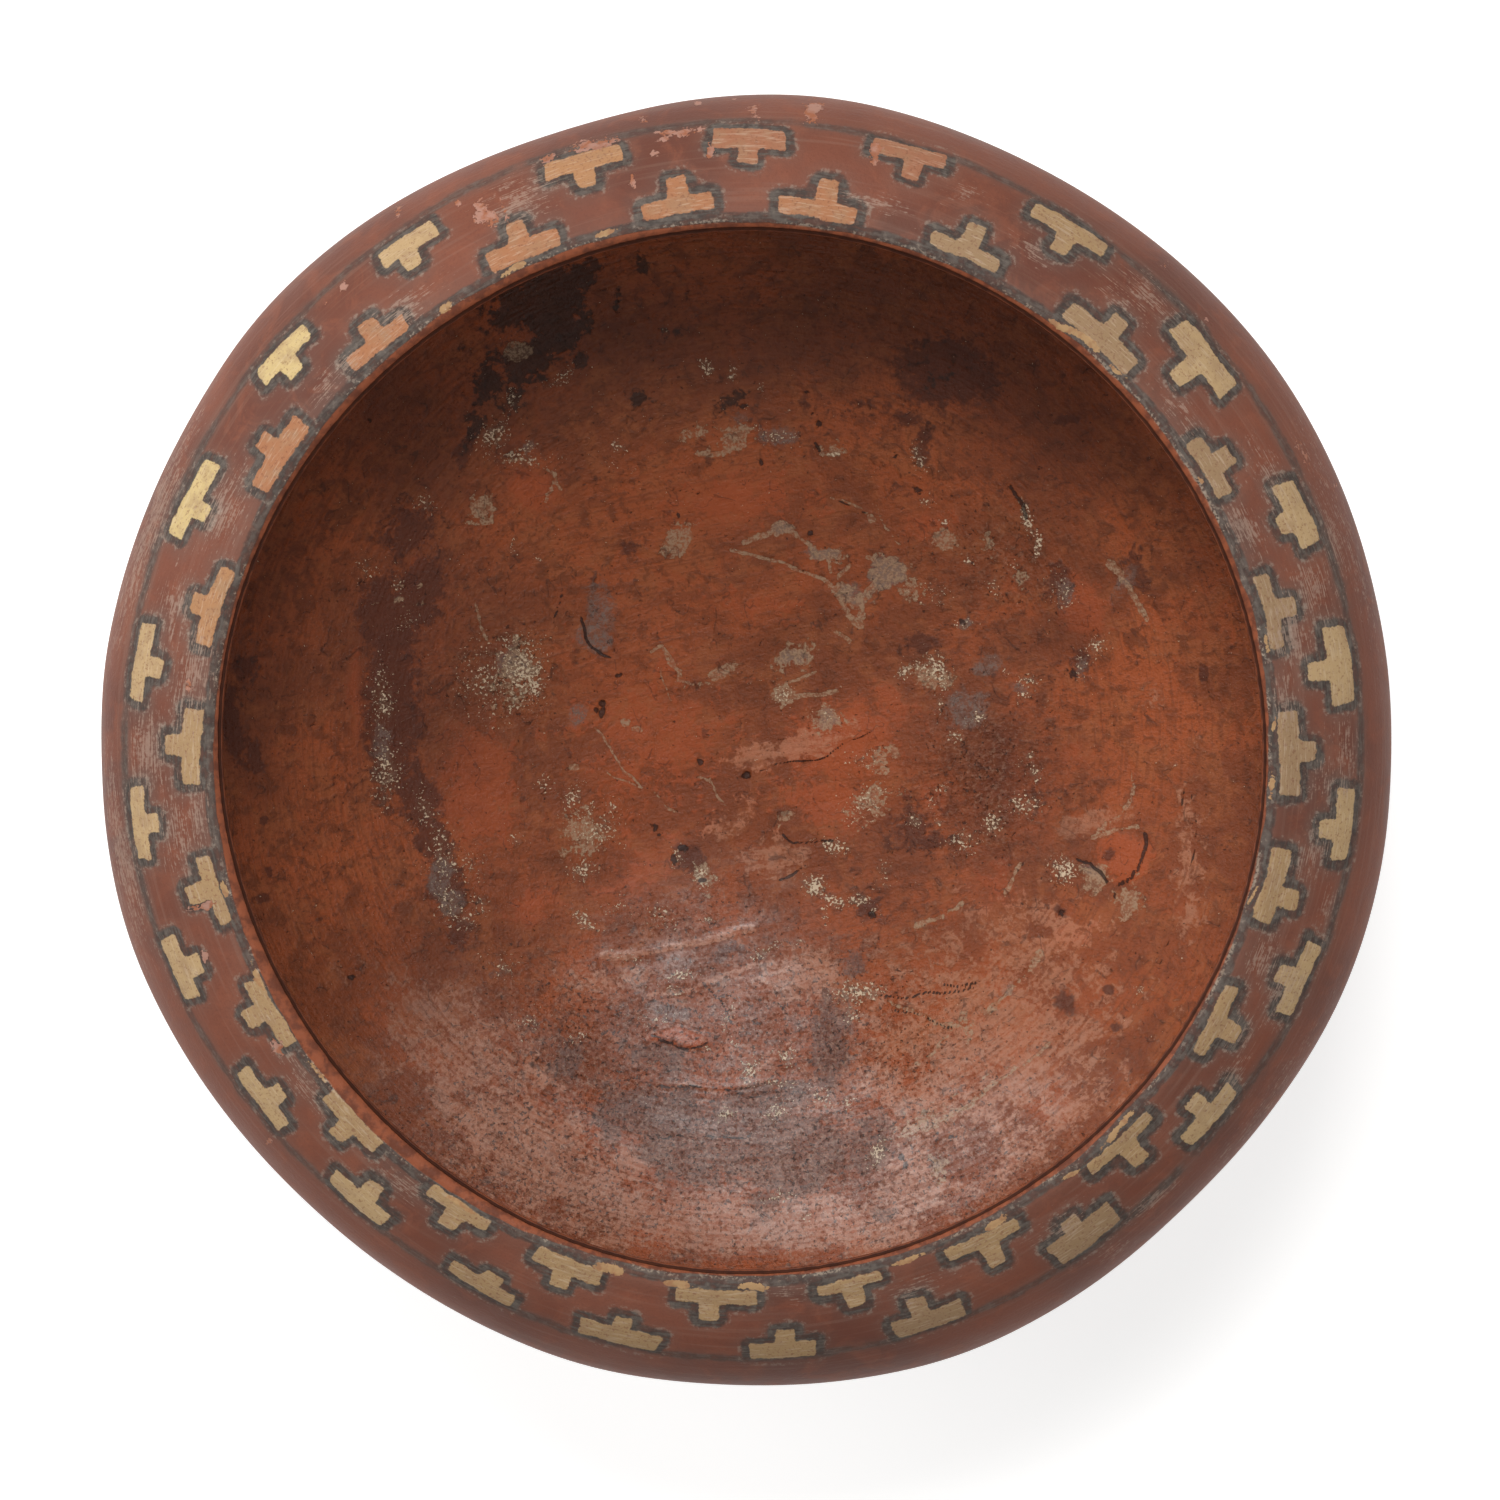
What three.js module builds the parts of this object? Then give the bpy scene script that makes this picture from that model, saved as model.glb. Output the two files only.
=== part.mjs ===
// A hand-built pedestal bowl of fired clay. A round floor, three wall courses, an in-turned shoulder and
// a rolled lip make the bowl, and a hollow flared wall with a rolled foot carries it. Every piece is a disc or
// ring of clay turned about +Z, bedded on the next one in a thin film of slip, and two coils of clay are
// pressed into the corners where the pedestal meets the bowl.
// Millimetres, +Z up. The origin is the centre of the circle that the foot stands on.
import * as THREE from "three";

// The bowl's outside
const GIRTH_RADIUS = 125; // widest radius, where the wall turns inwards
const GIRTH_HEIGHT = 84; // height of that turn above the ground
const BASE_HEIGHT = 30; // height of the bowl's underside on the axis
const SHOULDER_RISE = 27; // height that the shoulder's ellipse gains above the girth

// The bowl's wall
const FLOOR_THICKNESS = 6.5;
const GIRTH_THICKNESS = 6;
const SHOULDER_THICKNESS = 5;

// The mouth
const MOUTH_RADIUS = 98.7; // radius of the opening inside the lip
const LIP_ROUND = 2.6; // radius of the lip's rounded edge
const LIP_WIDTH = 6.3; // how far the lip's coil reaches outwards from the mouth's edge
const CROWN_INSET = 3; // how far inside the mouth's edge the shoulder's ellipse is centred

// Joints between the bowl's courses, as radii on its outside
const LOWER_JOINT_RADIUS = 74;
const UPPER_JOINT_RADIUS = 104;
const FLOOR_LAP = 1.5; // how far the floor reaches outwards over the pedestal's wall
const SCARF = 3; // how much lower a joint lies on the outside than on the inside, along the wall
const SLIP = 0.3; // film of slip in every joint

// The pedestal
const NECK_RADIUS = 45; // outside radius where the pedestal meets the bowl
const PEDESTAL_THICKNESS = 6.5;
const FLARE_RADIUS = 56; // outside radius where the pedestal meets the foot
const FOOT_HEIGHT = 9; // height of the rolled foot
const FOOT_RADIUS = 60; // widest radius of the foot
const FOOT_WIDTH = 11; // thickness of the foot's roll, measured along a radius
const REST_WIDTH = 6; // width of the flat ring that the foot stands on

// The coils in the corners between pedestal and bowl
const OUTER_COIL = 8; // how far the outer coil reaches along either surface
const INNER_COIL = 6; // how far the inner coil reaches along either surface
const FEATHER = 0.7; // thickness that a coil keeps at its thinned edges

// Facets
const SEGMENTS = 48; // around the axis
const PROFILE_STEP = 6; // longest step along a curve of a section

const quarterTurn = Math.PI / 2;
const shoulderCentre = MOUTH_RADIUS - CROWN_INSET;
const shoulderReach = GIRTH_RADIUS - shoulderCentre;

// The two skins of the bowl's wall. Each is half an ellipse below the girth and part of a smaller one above.
const outside = {
  reachBelow: GIRTH_RADIUS,
  drop: GIRTH_HEIGHT - BASE_HEIGHT,
  reachAbove: shoulderReach,
  rise: SHOULDER_RISE,
};
const inside = {
  reachBelow: GIRTH_RADIUS - GIRTH_THICKNESS,
  drop: GIRTH_HEIGHT - BASE_HEIGHT - FLOOR_THICKNESS,
  reachAbove: shoulderReach - GIRTH_THICKNESS,
  rise: SHOULDER_RISE - SHOULDER_THICKNESS,
};

// Materials

function clay(colour, roughness) {
  return new THREE.MeshStandardMaterial({ color: colour, roughness, metalness: 0 });
}

const wornSlip = clay(0x87492f, 0.55);
const redSlip = clay(0x7a4638, 0.5);
const bareClay = clay(0x99583a, 0.75);

// Curves of the section, in a plane where x is the radius and y is the height

// A point of a skin. The turn is 0 at the girth, a negative quarter turn on the axis, and positive above.
function skinPoint(skin, turn) {
  return turn < 0
    ? new THREE.Vector2(skin.reachBelow * Math.cos(turn), GIRTH_HEIGHT + skin.drop * Math.sin(turn))
    : new THREE.Vector2(
        shoulderCentre + skin.reachAbove * Math.cos(turn),
        GIRTH_HEIGHT + skin.rise * Math.sin(turn),
      );
}

// Length along a skin for each radian of turn.
function skinSpeed(skin, turn) {
  const [reach, rise] = turn < 0 ? [skin.reachBelow, skin.drop] : [skin.reachAbove, skin.rise];
  return Math.hypot(reach * Math.sin(turn), rise * Math.cos(turn));
}

// The turn that lies a given length further along a skin.
function along(skin, turn, length) {
  return turn + length / skinSpeed(skin, turn);
}

// Points of a skin from one turn to another, both included.
function skinStretch(skin, from, to) {
  const length = Math.abs(to - from) * skinSpeed(skin, (from + to) / 2);
  const steps = Math.max(2, Math.ceil(length / PROFILE_STEP));
  return Array.from({ length: steps + 1 }, (_, i) => skinPoint(skin, from + ((to - from) * i) / steps));
}

// Points of an arc of an ellipse about a centre, from one angle to another.
function arc(centre, reach, rise, from, to) {
  const length = Math.abs(to - from) * Math.max(reach, rise);
  const steps = Math.max(4, Math.ceil(length / PROFILE_STEP));
  return Array.from({ length: steps + 1 }, (_, i) => {
    const angle = from + ((to - from) * i) / steps;
    return new THREE.Vector2(centre.x + reach * Math.cos(angle), centre.y + rise * Math.sin(angle));
  });
}

// Height of the bowl's underside above a radius.
function undersideHeight(radius) {
  return GIRTH_HEIGHT - outside.drop * Math.sqrt(1 - (radius / outside.reachBelow) ** 2);
}

// Points along the bowl's underside between two radii, a film of slip below it.
function undersideStretch(from, to) {
  const steps = Math.max(2, Math.ceil(Math.abs(to - from) / PROFILE_STEP));
  return Array.from({ length: steps + 1 }, (_, i) => {
    const radius = from + ((to - from) * i) / steps;
    return new THREE.Vector2(radius, undersideHeight(radius) - SLIP);
  });
}

// The pedestal's flare, from the foot up to the neck, which is upright as far down as the coils reach.
function flareCurve() {
  const coilReach = Math.max(OUTER_COIL, INNER_COIL);
  const neckFoot = undersideHeight(NECK_RADIUS - PEDESTAL_THICKNESS) - coilReach - 2 * SLIP;
  return new THREE.QuadraticBezierCurve(
    new THREE.Vector2(FLARE_RADIUS, FOOT_HEIGHT + SLIP),
    new THREE.Vector2(NECK_RADIUS, (neckFoot + FOOT_HEIGHT) / 2),
    new THREE.Vector2(NECK_RADIUS, neckFoot),
  );
}

// Solids

// Turns a section about +Z. Its points run anticlockwise, up the outer side and down the inner one.
function turned(points) {
  return new THREE.LatheGeometry(points, SEGMENTS).rotateX(quarterTurn);
}

function ring(points) {
  return turned([...points, points[0]]);
}

// The two turns of a slanting joint through a radius of the outside.
function jointAt(radius, below) {
  const centre = below ? 0 : shoulderCentre;
  const reach = below ? outside.reachBelow : outside.reachAbove;
  const turn = Math.acos((radius - centre) / reach) * (below ? -1 : 1);
  return { outer: along(outside, turn, -SCARF / 2), inner: along(inside, turn, SCARF / 2) };
}

const floorJoint = jointAt(NECK_RADIUS - PEDESTAL_THICKNESS + FLOOR_LAP, true);
const lowerJoint = jointAt(LOWER_JOINT_RADIUS, true);
const upperJoint = jointAt(UPPER_JOINT_RADIUS, true);
const girthJoint = { outer: 0, inner: 0 };
const lipJoint = jointAt(MOUTH_RADIUS + LIP_WIDTH, false);

// A ring of the wall from one joint up to another, bedded in slip on the ring below.
function wallCourse(lower, upper) {
  return ring([
    ...skinStretch(outside, along(outside, lower.outer, SLIP), upper.outer),
    ...skinStretch(inside, upper.inner, along(inside, lower.inner, SLIP)),
  ]);
}

// The round slab that the bowl is started on.
function floorDisc() {
  return turned([
    ...skinStretch(outside, -quarterTurn, floorJoint.outer),
    ...skinStretch(inside, floorJoint.inner, -quarterTurn),
  ]);
}

// The last coil of the wall, rolled to a round edge that narrows the mouth.
function lipCoil() {
  const outerEdge = along(outside, lipJoint.outer, SLIP);
  const innerEdge = along(inside, lipJoint.inner, SLIP);
  const top = GIRTH_HEIGHT + SHOULDER_RISE;
  const roundCentre = new THREE.Vector2(MOUTH_RADIUS + LIP_ROUND, top - LIP_ROUND);
  return ring([
    skinPoint(outside, outerEdge),
    ...arc(roundCentre, LIP_ROUND, LIP_ROUND, quarterTurn, 3 * quarterTurn),
    skinPoint(inside, innerEdge),
  ]);
}

function pedestalWall() {
  const flare = flareCurve();
  const outer = flare.getPoints(Math.ceil(flare.getLength() / PROFILE_STEP));
  const inner = outer.map((point) => new THREE.Vector2(point.x - PEDESTAL_THICKNESS, point.y)).reverse();
  return ring([...outer, ...undersideStretch(NECK_RADIUS, NECK_RADIUS - PEDESTAL_THICKNESS), ...inner]);
}

// The roll of clay under the pedestal, flat where it stands and where the pedestal sits on it.
function footRoll() {
  const middle = FOOT_RADIUS - FOOT_WIDTH / 2;
  const side = (FOOT_WIDTH - REST_WIDTH) / 2;
  const outerRound = new THREE.Vector2(middle + REST_WIDTH / 2, FOOT_HEIGHT / 2);
  const innerRound = new THREE.Vector2(middle - REST_WIDTH / 2, FOOT_HEIGHT / 2);
  return ring([
    ...arc(outerRound, side, FOOT_HEIGHT / 2, -quarterTurn, quarterTurn),
    ...arc(innerRound, side, FOOT_HEIGHT / 2, quarterTurn, 3 * quarterTurn),
  ]);
}

// A coil pressed into the corner under the bowl, hollowed on its free side. The side is 1 outside the
// pedestal and -1 inside it.
function cornerCoil(wallRadius, reach, side) {
  const near = wallRadius + side * SLIP;
  const far = near + side * reach;
  const roof = undersideStretch(near, far);
  const hollow = arc(
    new THREE.Vector2(far, roof[0].y - reach),
    -side * (reach - FEATHER),
    roof[roof.length - 1].y - FEATHER - (roof[0].y - reach),
    quarterTurn,
    0,
  );
  const foot = new THREE.Vector2(near, roof[0].y - reach);
  const section = [...roof, ...hollow, foot];
  return ring(side > 0 ? section.reverse() : section);
}

// The bowl

const bowl = new THREE.Group();

function piece(name, geometry, material) {
  const mesh = new THREE.Mesh(geometry, material);
  mesh.name = name;
  bowl.add(mesh);
}

piece("floor_disc", floorDisc(), wornSlip);
piece("lower_wall_course", wallCourse(floorJoint, lowerJoint), wornSlip);
piece("middle_wall_course", wallCourse(lowerJoint, upperJoint), wornSlip);
piece("upper_wall_course", wallCourse(upperJoint, girthJoint), redSlip);
piece("shoulder_course", wallCourse(girthJoint, lipJoint), redSlip);
piece("lip_coil", lipCoil(), bareClay);
piece("pedestal_wall", pedestalWall(), redSlip);
piece("foot_roll", footRoll(), redSlip);
piece("outer_corner_coil", cornerCoil(NECK_RADIUS, OUTER_COIL, 1), redSlip);
piece("inner_corner_coil", cornerCoil(NECK_RADIUS - PEDESTAL_THICKNESS, INNER_COIL, -1), bareClay);

export default bowl;
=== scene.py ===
"""Visual model of a hand-built pedestal bowl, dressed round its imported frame."""

import logging
import math
import random
from collections.abc import Callable, Sequence
from dataclasses import dataclass
from enum import Enum

import bmesh
import bpy
import numpy as np
from mathutils import Matrix, Vector


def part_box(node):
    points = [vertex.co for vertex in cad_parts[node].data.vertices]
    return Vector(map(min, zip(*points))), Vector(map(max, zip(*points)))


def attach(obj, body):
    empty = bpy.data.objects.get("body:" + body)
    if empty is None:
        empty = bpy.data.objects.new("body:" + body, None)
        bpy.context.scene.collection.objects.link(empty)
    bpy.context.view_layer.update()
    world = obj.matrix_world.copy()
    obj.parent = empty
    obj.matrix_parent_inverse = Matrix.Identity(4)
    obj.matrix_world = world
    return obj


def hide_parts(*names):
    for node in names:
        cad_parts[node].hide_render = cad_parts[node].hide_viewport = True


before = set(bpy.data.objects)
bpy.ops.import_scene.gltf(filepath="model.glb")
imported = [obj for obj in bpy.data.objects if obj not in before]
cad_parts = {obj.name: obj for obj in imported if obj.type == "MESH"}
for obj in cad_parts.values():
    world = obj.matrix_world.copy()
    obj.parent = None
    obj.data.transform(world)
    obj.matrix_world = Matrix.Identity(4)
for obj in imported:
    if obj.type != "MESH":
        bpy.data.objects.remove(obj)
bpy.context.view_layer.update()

log = logging.getLogger("pedestal_bowl")

Array = np.ndarray
Colour = tuple[float, float, float, float]
Point = tuple[float, float]
Readings = tuple[tuple[float, float], ...]

MM = 0.001  # a millimetre, in metres
COARSE_STEPS = 64  # steps of the first turn of a section, each divided again afterwards
SHARP_ANGLE = math.radians(40)  # edges that turn further than this stay crisp
STRAY = 1.0  # how far the outline of a mark of wear wanders, in millimetres


def srgb(red: int, green: int, blue: int) -> Colour:
    """Colour for a shader, from the three numbers that a screen shows.

    Args:
        red: Red, from 0 to 255.
        green: Green, from 0 to 255.
        blue: Blue, from 0 to 255.

    Returns:
        The linear colour, opaque.
    """
    def linear(value: float) -> float:
        """Linear share of one channel."""
        return value / 12.92 if value <= 0.04045 else ((value + 0.055) / 1.055) ** 2.4

    return linear(red / 255), linear(green / 255), linear(blue / 255), 1.0


def smooth(low: float, high: float, value: Array) -> Array:
    """Eases each value from 0 at low to 1 at high."""
    share = np.clip((value - low) / (high - low), 0.0, 1.0)
    return share * share * (3.0 - 2.0 * share)


def read_round(readings: Readings, angle: Array, blur: float) -> Array:
    """Smoothed value at each angle of readings that were taken round the vessel.

    Args:
        readings: Pairs of degrees and value.
        angle: Angles about the axis, in radians.
        blur: Degrees over which neighbouring readings run together.

    Returns:
        The value at each angle.
    """
    places, values = np.array(readings).T
    degrees = np.degrees(angle)
    shifts = np.linspace(-blur, blur, 7)
    near = [np.interp(degrees + shift, places, values, period=360.0) for shift in shifts]
    return np.mean(near, axis=0)


def spaced(start: float, end: float, steps: int) -> list[float]:
    """Numbers from one to another in even steps, with both ends."""
    return [start + (end - start) * step / steps for step in range(steps + 1)]


def steps_over(length: float, spacing: float) -> int:
    """How many steps cover a length, two at the least."""
    return max(2, math.ceil(length / spacing))


def add_object(name: str, data: bpy.types.ID) -> bpy.types.Object:
    """Makes an object of some data and puts it in the scene."""
    made = bpy.data.objects.new(name, data)
    bpy.context.scene.collection.objects.link(made)
    return made


# Shaders written as sums


class Value:
    """A socket of a shader, so that maths on sockets reads as maths on numbers."""

    def __init__(self, graph: "Graph", socket: bpy.types.NodeSocket) -> None:
        """Keeps the socket with the graph that it belongs to."""
        self.graph = graph
        self.socket = socket

    def __add__(self, other: "Term") -> "Value":
        """Sum."""
        return self.graph.maths("ADD", self, other)

    __radd__ = __add__

    def __sub__(self, other: "Term") -> "Value":
        """Difference."""
        return self.graph.maths("SUBTRACT", self, other)

    def __rsub__(self, other: "Term") -> "Value":
        """Difference from a number."""
        return self.graph.maths("SUBTRACT", other, self)

    def __mul__(self, other: "Term") -> "Value":
        """Product."""
        return self.graph.maths("MULTIPLY", self, other)

    __rmul__ = __mul__

    def __abs__(self) -> "Value":
        """Size without its sign."""
        return self.graph.maths("ABSOLUTE", self)


Term = Value | float | Colour


class Graph:
    """The nodes of one material or world."""

    def __init__(self, owner: bpy.types.Material | bpy.types.World) -> None:
        """Starts from the nodes that the material or world already has."""
        owner.use_nodes = True
        self.tree = owner.node_tree
        self._shared: dict[str, Value] = {}

    def node(
        self,
        kind: str,
        settings: dict[str, object] | None = None,
        terms: dict[str | int, Term] | None = None,
        output: str | int = 0,
    ) -> Value:
        """Adds one node.

        Args:
            kind: The node's type.
            settings: Its settings, which are made first.
            terms: What its sockets hold or are linked to, by name or number.
            output: The socket that is handed back.

        Returns:
            The chosen output.
        """
        made = self.tree.nodes.new(kind)
        for name, setting in (settings or {}).items():
            setattr(made, name, setting)
        for name, term in (terms or {}).items():
            self.feed(self._socket(made.inputs, name), term)
        return Value(self, self._socket(made.outputs, output))

    def feed(self, socket: bpy.types.NodeSocket, term: Term) -> None:
        """Links a socket to a value, or sets it to a number or colour."""
        if isinstance(term, Value):
            self.tree.links.new(term.socket, socket)
        else:
            socket.default_value = term

    def maths(self, operation: str, *terms: Term) -> Value:
        """One sum on numbers."""
        return self.node("ShaderNodeMath", {"operation": operation}, dict(enumerate(terms)))

    def vector(self, operation: str, *terms: Term, output: str = "Vector") -> Value:
        """One sum on vectors."""
        settings = {"operation": operation}
        return self.node("ShaderNodeVectorMath", settings, dict(enumerate(terms)), output)

    def step(self, value: Value, low: float, high: float) -> Value:
        """Eases from 0 at low to 1 at high, whichever of them is larger."""
        if low > high:
            return 1.0 - self.step(value, high, low)
        settings = {"interpolation_type": "SMOOTHSTEP"}
        return self.node("ShaderNodeMapRange", settings, {"Value": value, "From Min": low, "From Max": high})

    def mix(self, factor: Term, first: Term, second: Term) -> Value:
        """Mixes two colours."""
        terms = {"Factor": factor, "A": first, "B": second}
        return self.node("ShaderNodeMix", {"data_type": "RGBA"}, terms, "Result")

    def layers(self, colour: Term, *coats: tuple[Value, float, float, float, Colour]) -> Value:
        """Lays coats over a colour, one after another.

        Args:
            colour: What they are laid on.
            coats: For each, what it follows, where that lets it start and where it is full, how much
                it covers there, and its colour.

        Returns:
            The colour that shows.
        """
        for follows, low, high, cover, coat in coats:
            colour = self.mix(self.step(follows, low, high) * cover, colour, coat)
        return colour

    def largest(self, *values: Value) -> Value:
        """The largest of several values."""
        found = values[0]
        for value in values[1:]:
            found = self.maths("MAXIMUM", found, value)
        return found

    def reading(self, name: str) -> Value:
        """A number that the mesh carries at each point."""
        settings = {"attribute_name": name}
        return self._once(name, lambda: self.node("ShaderNodeAttribute", settings, output="Fac"))

    def tint(self, name: str) -> Value:
        """A colour that the mesh carries at each point."""
        return self.node("ShaderNodeAttribute", {"attribute_name": name}, output="Color")

    def place(self) -> Value:
        """Place on the object, in metres."""
        return self._once("place", lambda: self.node("ShaderNodeTexCoord", output="Object"))

    def radius(self) -> Value:
        """Distance from the axis, in metres."""
        return self._once("radius", lambda: self.vector("LENGTH", self._flat(), output="Value"))

    def height(self) -> Value:
        """Height above the ground, in metres."""
        return self._once("height", lambda: self._part("Z"))

    def noise(
        self, size: float, detail: float = 3.0, shift: float = 0.0, warp: float = 0.0, rough: float = 0.5
    ) -> Value:
        """Cloudy noise.

        Args:
            size: Width of a cloud, in millimetres.
            detail: How many finer sizes are laid over it.
            shift: Moves the pattern, so that two of a size differ.
            warp: How far the clouds are pulled out of shape.
            rough: How much the finer sizes count.

        Returns:
            A value about 0.5.
        """
        place = self.place()
        if shift:
            place = self.vector("ADD", place, (shift, shift, shift))
        terms = {
            "Vector": place,
            "Scale": 1.0 / (size * MM),
            "Detail": detail,
            "Roughness": rough,
            "Distortion": warp,
        }
        return self.node("ShaderNodeTexNoise", {}, terms)

    def streaks(self, length: float, width: float, rise: float = 1.0) -> Value:
        """Noise drawn out round the axis, as strokes of burnishing are.

        Args:
            length: Length of a streak, in radians.
            width: Its width, in millimetres.
            rise: 1 where the wall widens upwards and -1 where it closes.

        Returns:
            A value about 0.5.
        """
        heading = self.vector("NORMALIZE", self._flat())
        around = self.vector("MULTIPLY", heading, (1.0 / length, 1.0 / length, 0.0))
        run = (self.height() + self.radius() * rise) * (1.0 / (width * MM))
        offset = self.node("ShaderNodeCombineXYZ", {}, {"Z": run})
        terms = {"Vector": self.vector("ADD", around, offset), "Scale": 1.0, "Detail": 3.0}
        return self.node("ShaderNodeTexNoise", {}, terms)

    def swipes(self, length: float, width: float, turn: float) -> Value:
        """Noise drawn out one way across the piece, as strokes of a wiping hand are.

        Args:
            length: Length of a stroke, in millimetres.
            width: Its width, in millimetres.
            turn: Its direction, in degrees from +X.

        Returns:
            A value about 0.5.
        """
        terms = {
            "Vector": self.place(),
            "Rotation": (0.0, 0.0, math.radians(turn)),
            "Scale": (length * MM, width * MM, width * MM),
        }
        drawn = self.node("ShaderNodeMapping", {"vector_type": "TEXTURE"}, terms)
        terms = {"Vector": drawn, "Scale": 1.0, "Detail": 3.0, "Distortion": 0.3}
        return self.node("ShaderNodeTexNoise", {}, terms)

    def specks(self, spacing: float, size: float, share: float, rag: Term = 0.0) -> Value:
        """Scattered specks.

        Args:
            spacing: Distance between possible specks, in millimetres.
            size: Radius of a speck against that distance.
            share: Share of the places that hold one.
            rag: What pulls them out of round.

        Returns:
            1 on a speck and 0 between them.
        """
        terms = {"Vector": self.place(), "Scale": 1.0 / (spacing * MM), "Randomness": 1.0}
        near = self.node("ShaderNodeTexVoronoi", {}, terms, "Distance")
        chance = Value(self, near.socket.node.outputs["Color"])
        drawn = self.node("ShaderNodeSeparateColor", {}, {"Color": chance}, "Red")
        return self.step(near + rag, size, size * 0.6) * self.maths("LESS_THAN", drawn, share)

    def shade(self, relief: Value, terms: dict[str, Term]) -> None:
        """Feeds the material's own shader.

        Args:
            relief: Height of the surface's fine relief, in millimetres.
            terms: What the shader's other sockets hold.
        """
        shader = next(node for node in self.tree.nodes if node.type == "BSDF_PRINCIPLED")
        bump = self.node("ShaderNodeBump", {}, {"Height": relief, "Distance": MM, "Strength": 1.0})
        for name, term in {**terms, "Normal": bump}.items():
            self.feed(shader.inputs[name], term)

    def hairs(self, size: float, width: float, shift: float) -> Value:
        """Fine wandering lines, as of crazing.

        Args:
            size: Distance over which a line changes its course, in millimetres.
            width: Width of a line against that distance.
            shift: Moves the pattern.

        Returns:
            1 on a line and 0 between them.
        """
        field = self.noise(size, 2, shift, 0.6)
        return self.step(abs(field - 0.5), width, width * 0.3)

    def _flat(self) -> Value:
        """Place without its height."""
        return self._once("flat", lambda: self.vector("MULTIPLY", self.place(), (1.0, 1.0, 0.0)))

    def _part(self, axis: str) -> Value:
        """One coordinate of the place."""
        return self.node("ShaderNodeSeparateXYZ", {}, {0: self.place()}, axis)

    def _once(self, name: str, make: Callable[[], Value]) -> Value:
        """Makes a value the first time that it is asked for."""
        if name not in self._shared:
            self._shared[name] = make()
        return self._shared[name]

    @staticmethod
    def _socket(sockets: bpy.types.bpy_prop_collection, name: str | int) -> bpy.types.NodeSocket:
        """A socket by its number, or by its name among those in use."""
        if isinstance(name, int):
            return sockets[name]
        return next(socket for socket in sockets if socket.enabled and socket.name == name)


# Marks of wear, with some painted shade and highlight, placed in plan


@dataclass(frozen=True)
class Patch:
    """A blotch: an ellipse seen from above, in millimetres."""

    x: float
    y: float
    length: float
    width: float
    strength: float = 1.0
    turn: float = 0.0

    def cover(self, x: Array, y: Array) -> Array:
        """How far the patch covers each place: half its strength on its outline."""
        turn = math.radians(self.turn)
        along = (x - self.x) * math.cos(turn) + (y - self.y) * math.sin(turn)
        across = (y - self.y) * math.cos(turn) - (x - self.x) * math.sin(turn)
        reach = np.hypot(along * 2.0 / self.length, across * 2.0 / self.width)
        return self.strength * np.clip(1.0 - 0.5 * reach, 0.0, 1.0)


@dataclass(frozen=True)
class Stroke:
    """A scratch or crack: a line through points seen from above, in millimetres."""

    points: Sequence[Point]
    width: float
    strength: float = 1.0

    def cover(self, x: Array, y: Array) -> Array:
        """How far the stroke covers each place: half its strength on its edges."""
        nearest = np.full_like(x, np.inf)
        for (x0, y0), (x1, y1) in zip(self.points, self.points[1:]):
            run = (x1 - x0) ** 2 + (y1 - y0) ** 2
            share = np.clip(((x - x0) * (x1 - x0) + (y - y0) * (y1 - y0)) / run, 0.0, 1.0)
            nearest = np.minimum(nearest, np.hypot(x - x0 - share * (x1 - x0), y - y0 - share * (y1 - y0)))
        return self.strength * np.clip(1.0 - nearest / self.width, 0.0, 1.0)


Mark = Patch | Stroke


def wander(points: Array) -> Array:
    """A smooth shift of each point, so that what is laid over the points loses its clean outline."""
    chance = random.Random(5)
    shift = np.zeros_like(points)
    for _ in range(36):
        length = chance.uniform(3.0, 20.0)
        heading = np.array([chance.gauss(0.0, 1.0) for _ in range(3)])
        heading *= math.tau / (length * np.linalg.norm(heading))
        wave = np.cos(points @ heading + chance.uniform(0.0, math.tau)) * math.sqrt(length / 18.0)
        turn = chance.uniform(0.0, math.tau)
        shift += np.outer(wave, (math.cos(turn), math.sin(turn), 0.0)) / 6.0
    return shift


def blots(*sizes: tuple[float, ...]) -> tuple[Patch, ...]:
    """Patches, each given as the numbers that it takes."""
    return tuple(Patch(*size) for size in sizes)


def lines(*courses: tuple) -> tuple[Stroke, ...]:
    """Strokes, each given as its width, its strength and its points."""
    return tuple(Stroke(points, width, strength) for width, strength, *points in courses)


def on_ring(angle: float, radius: float, length: float, width: float, strength: float = 1.0) -> Patch:
    """A patch that lies along a ring about the axis.

    Args:
        angle: Its place round the axis, in degrees.
        radius: Distance of its middle from the axis.
        length: Its size along the ring.
        width: Its size across the ring.
        strength: How strongly it covers.

    Returns:
        The patch.
    """
    x = radius * math.cos(math.radians(angle))
    y = radius * math.sin(math.radians(angle))
    return Patch(x, y, length, width, strength, angle + 90.0)


def rings(*sizes: tuple[float, ...]) -> tuple[Patch, ...]:
    """Patches that lie along rings, each given as the numbers that it takes."""
    return tuple(on_ring(*size) for size in sizes)


def write_numbers(mesh: bpy.types.Mesh, name: str, values: Array) -> None:
    """Stores one number at each point of a mesh."""
    mesh.attributes.new(name, "FLOAT", "POINT").data.foreach_set("value", values.astype(np.float32))


def write_colours(mesh: bpy.types.Mesh, name: str, values: Array) -> None:
    """Stores one colour at each point of a mesh."""
    mesh.attributes.new(name, "FLOAT_COLOR", "POINT").data.foreach_set(
        "color", values.astype(np.float32).ravel()
    )


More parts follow.
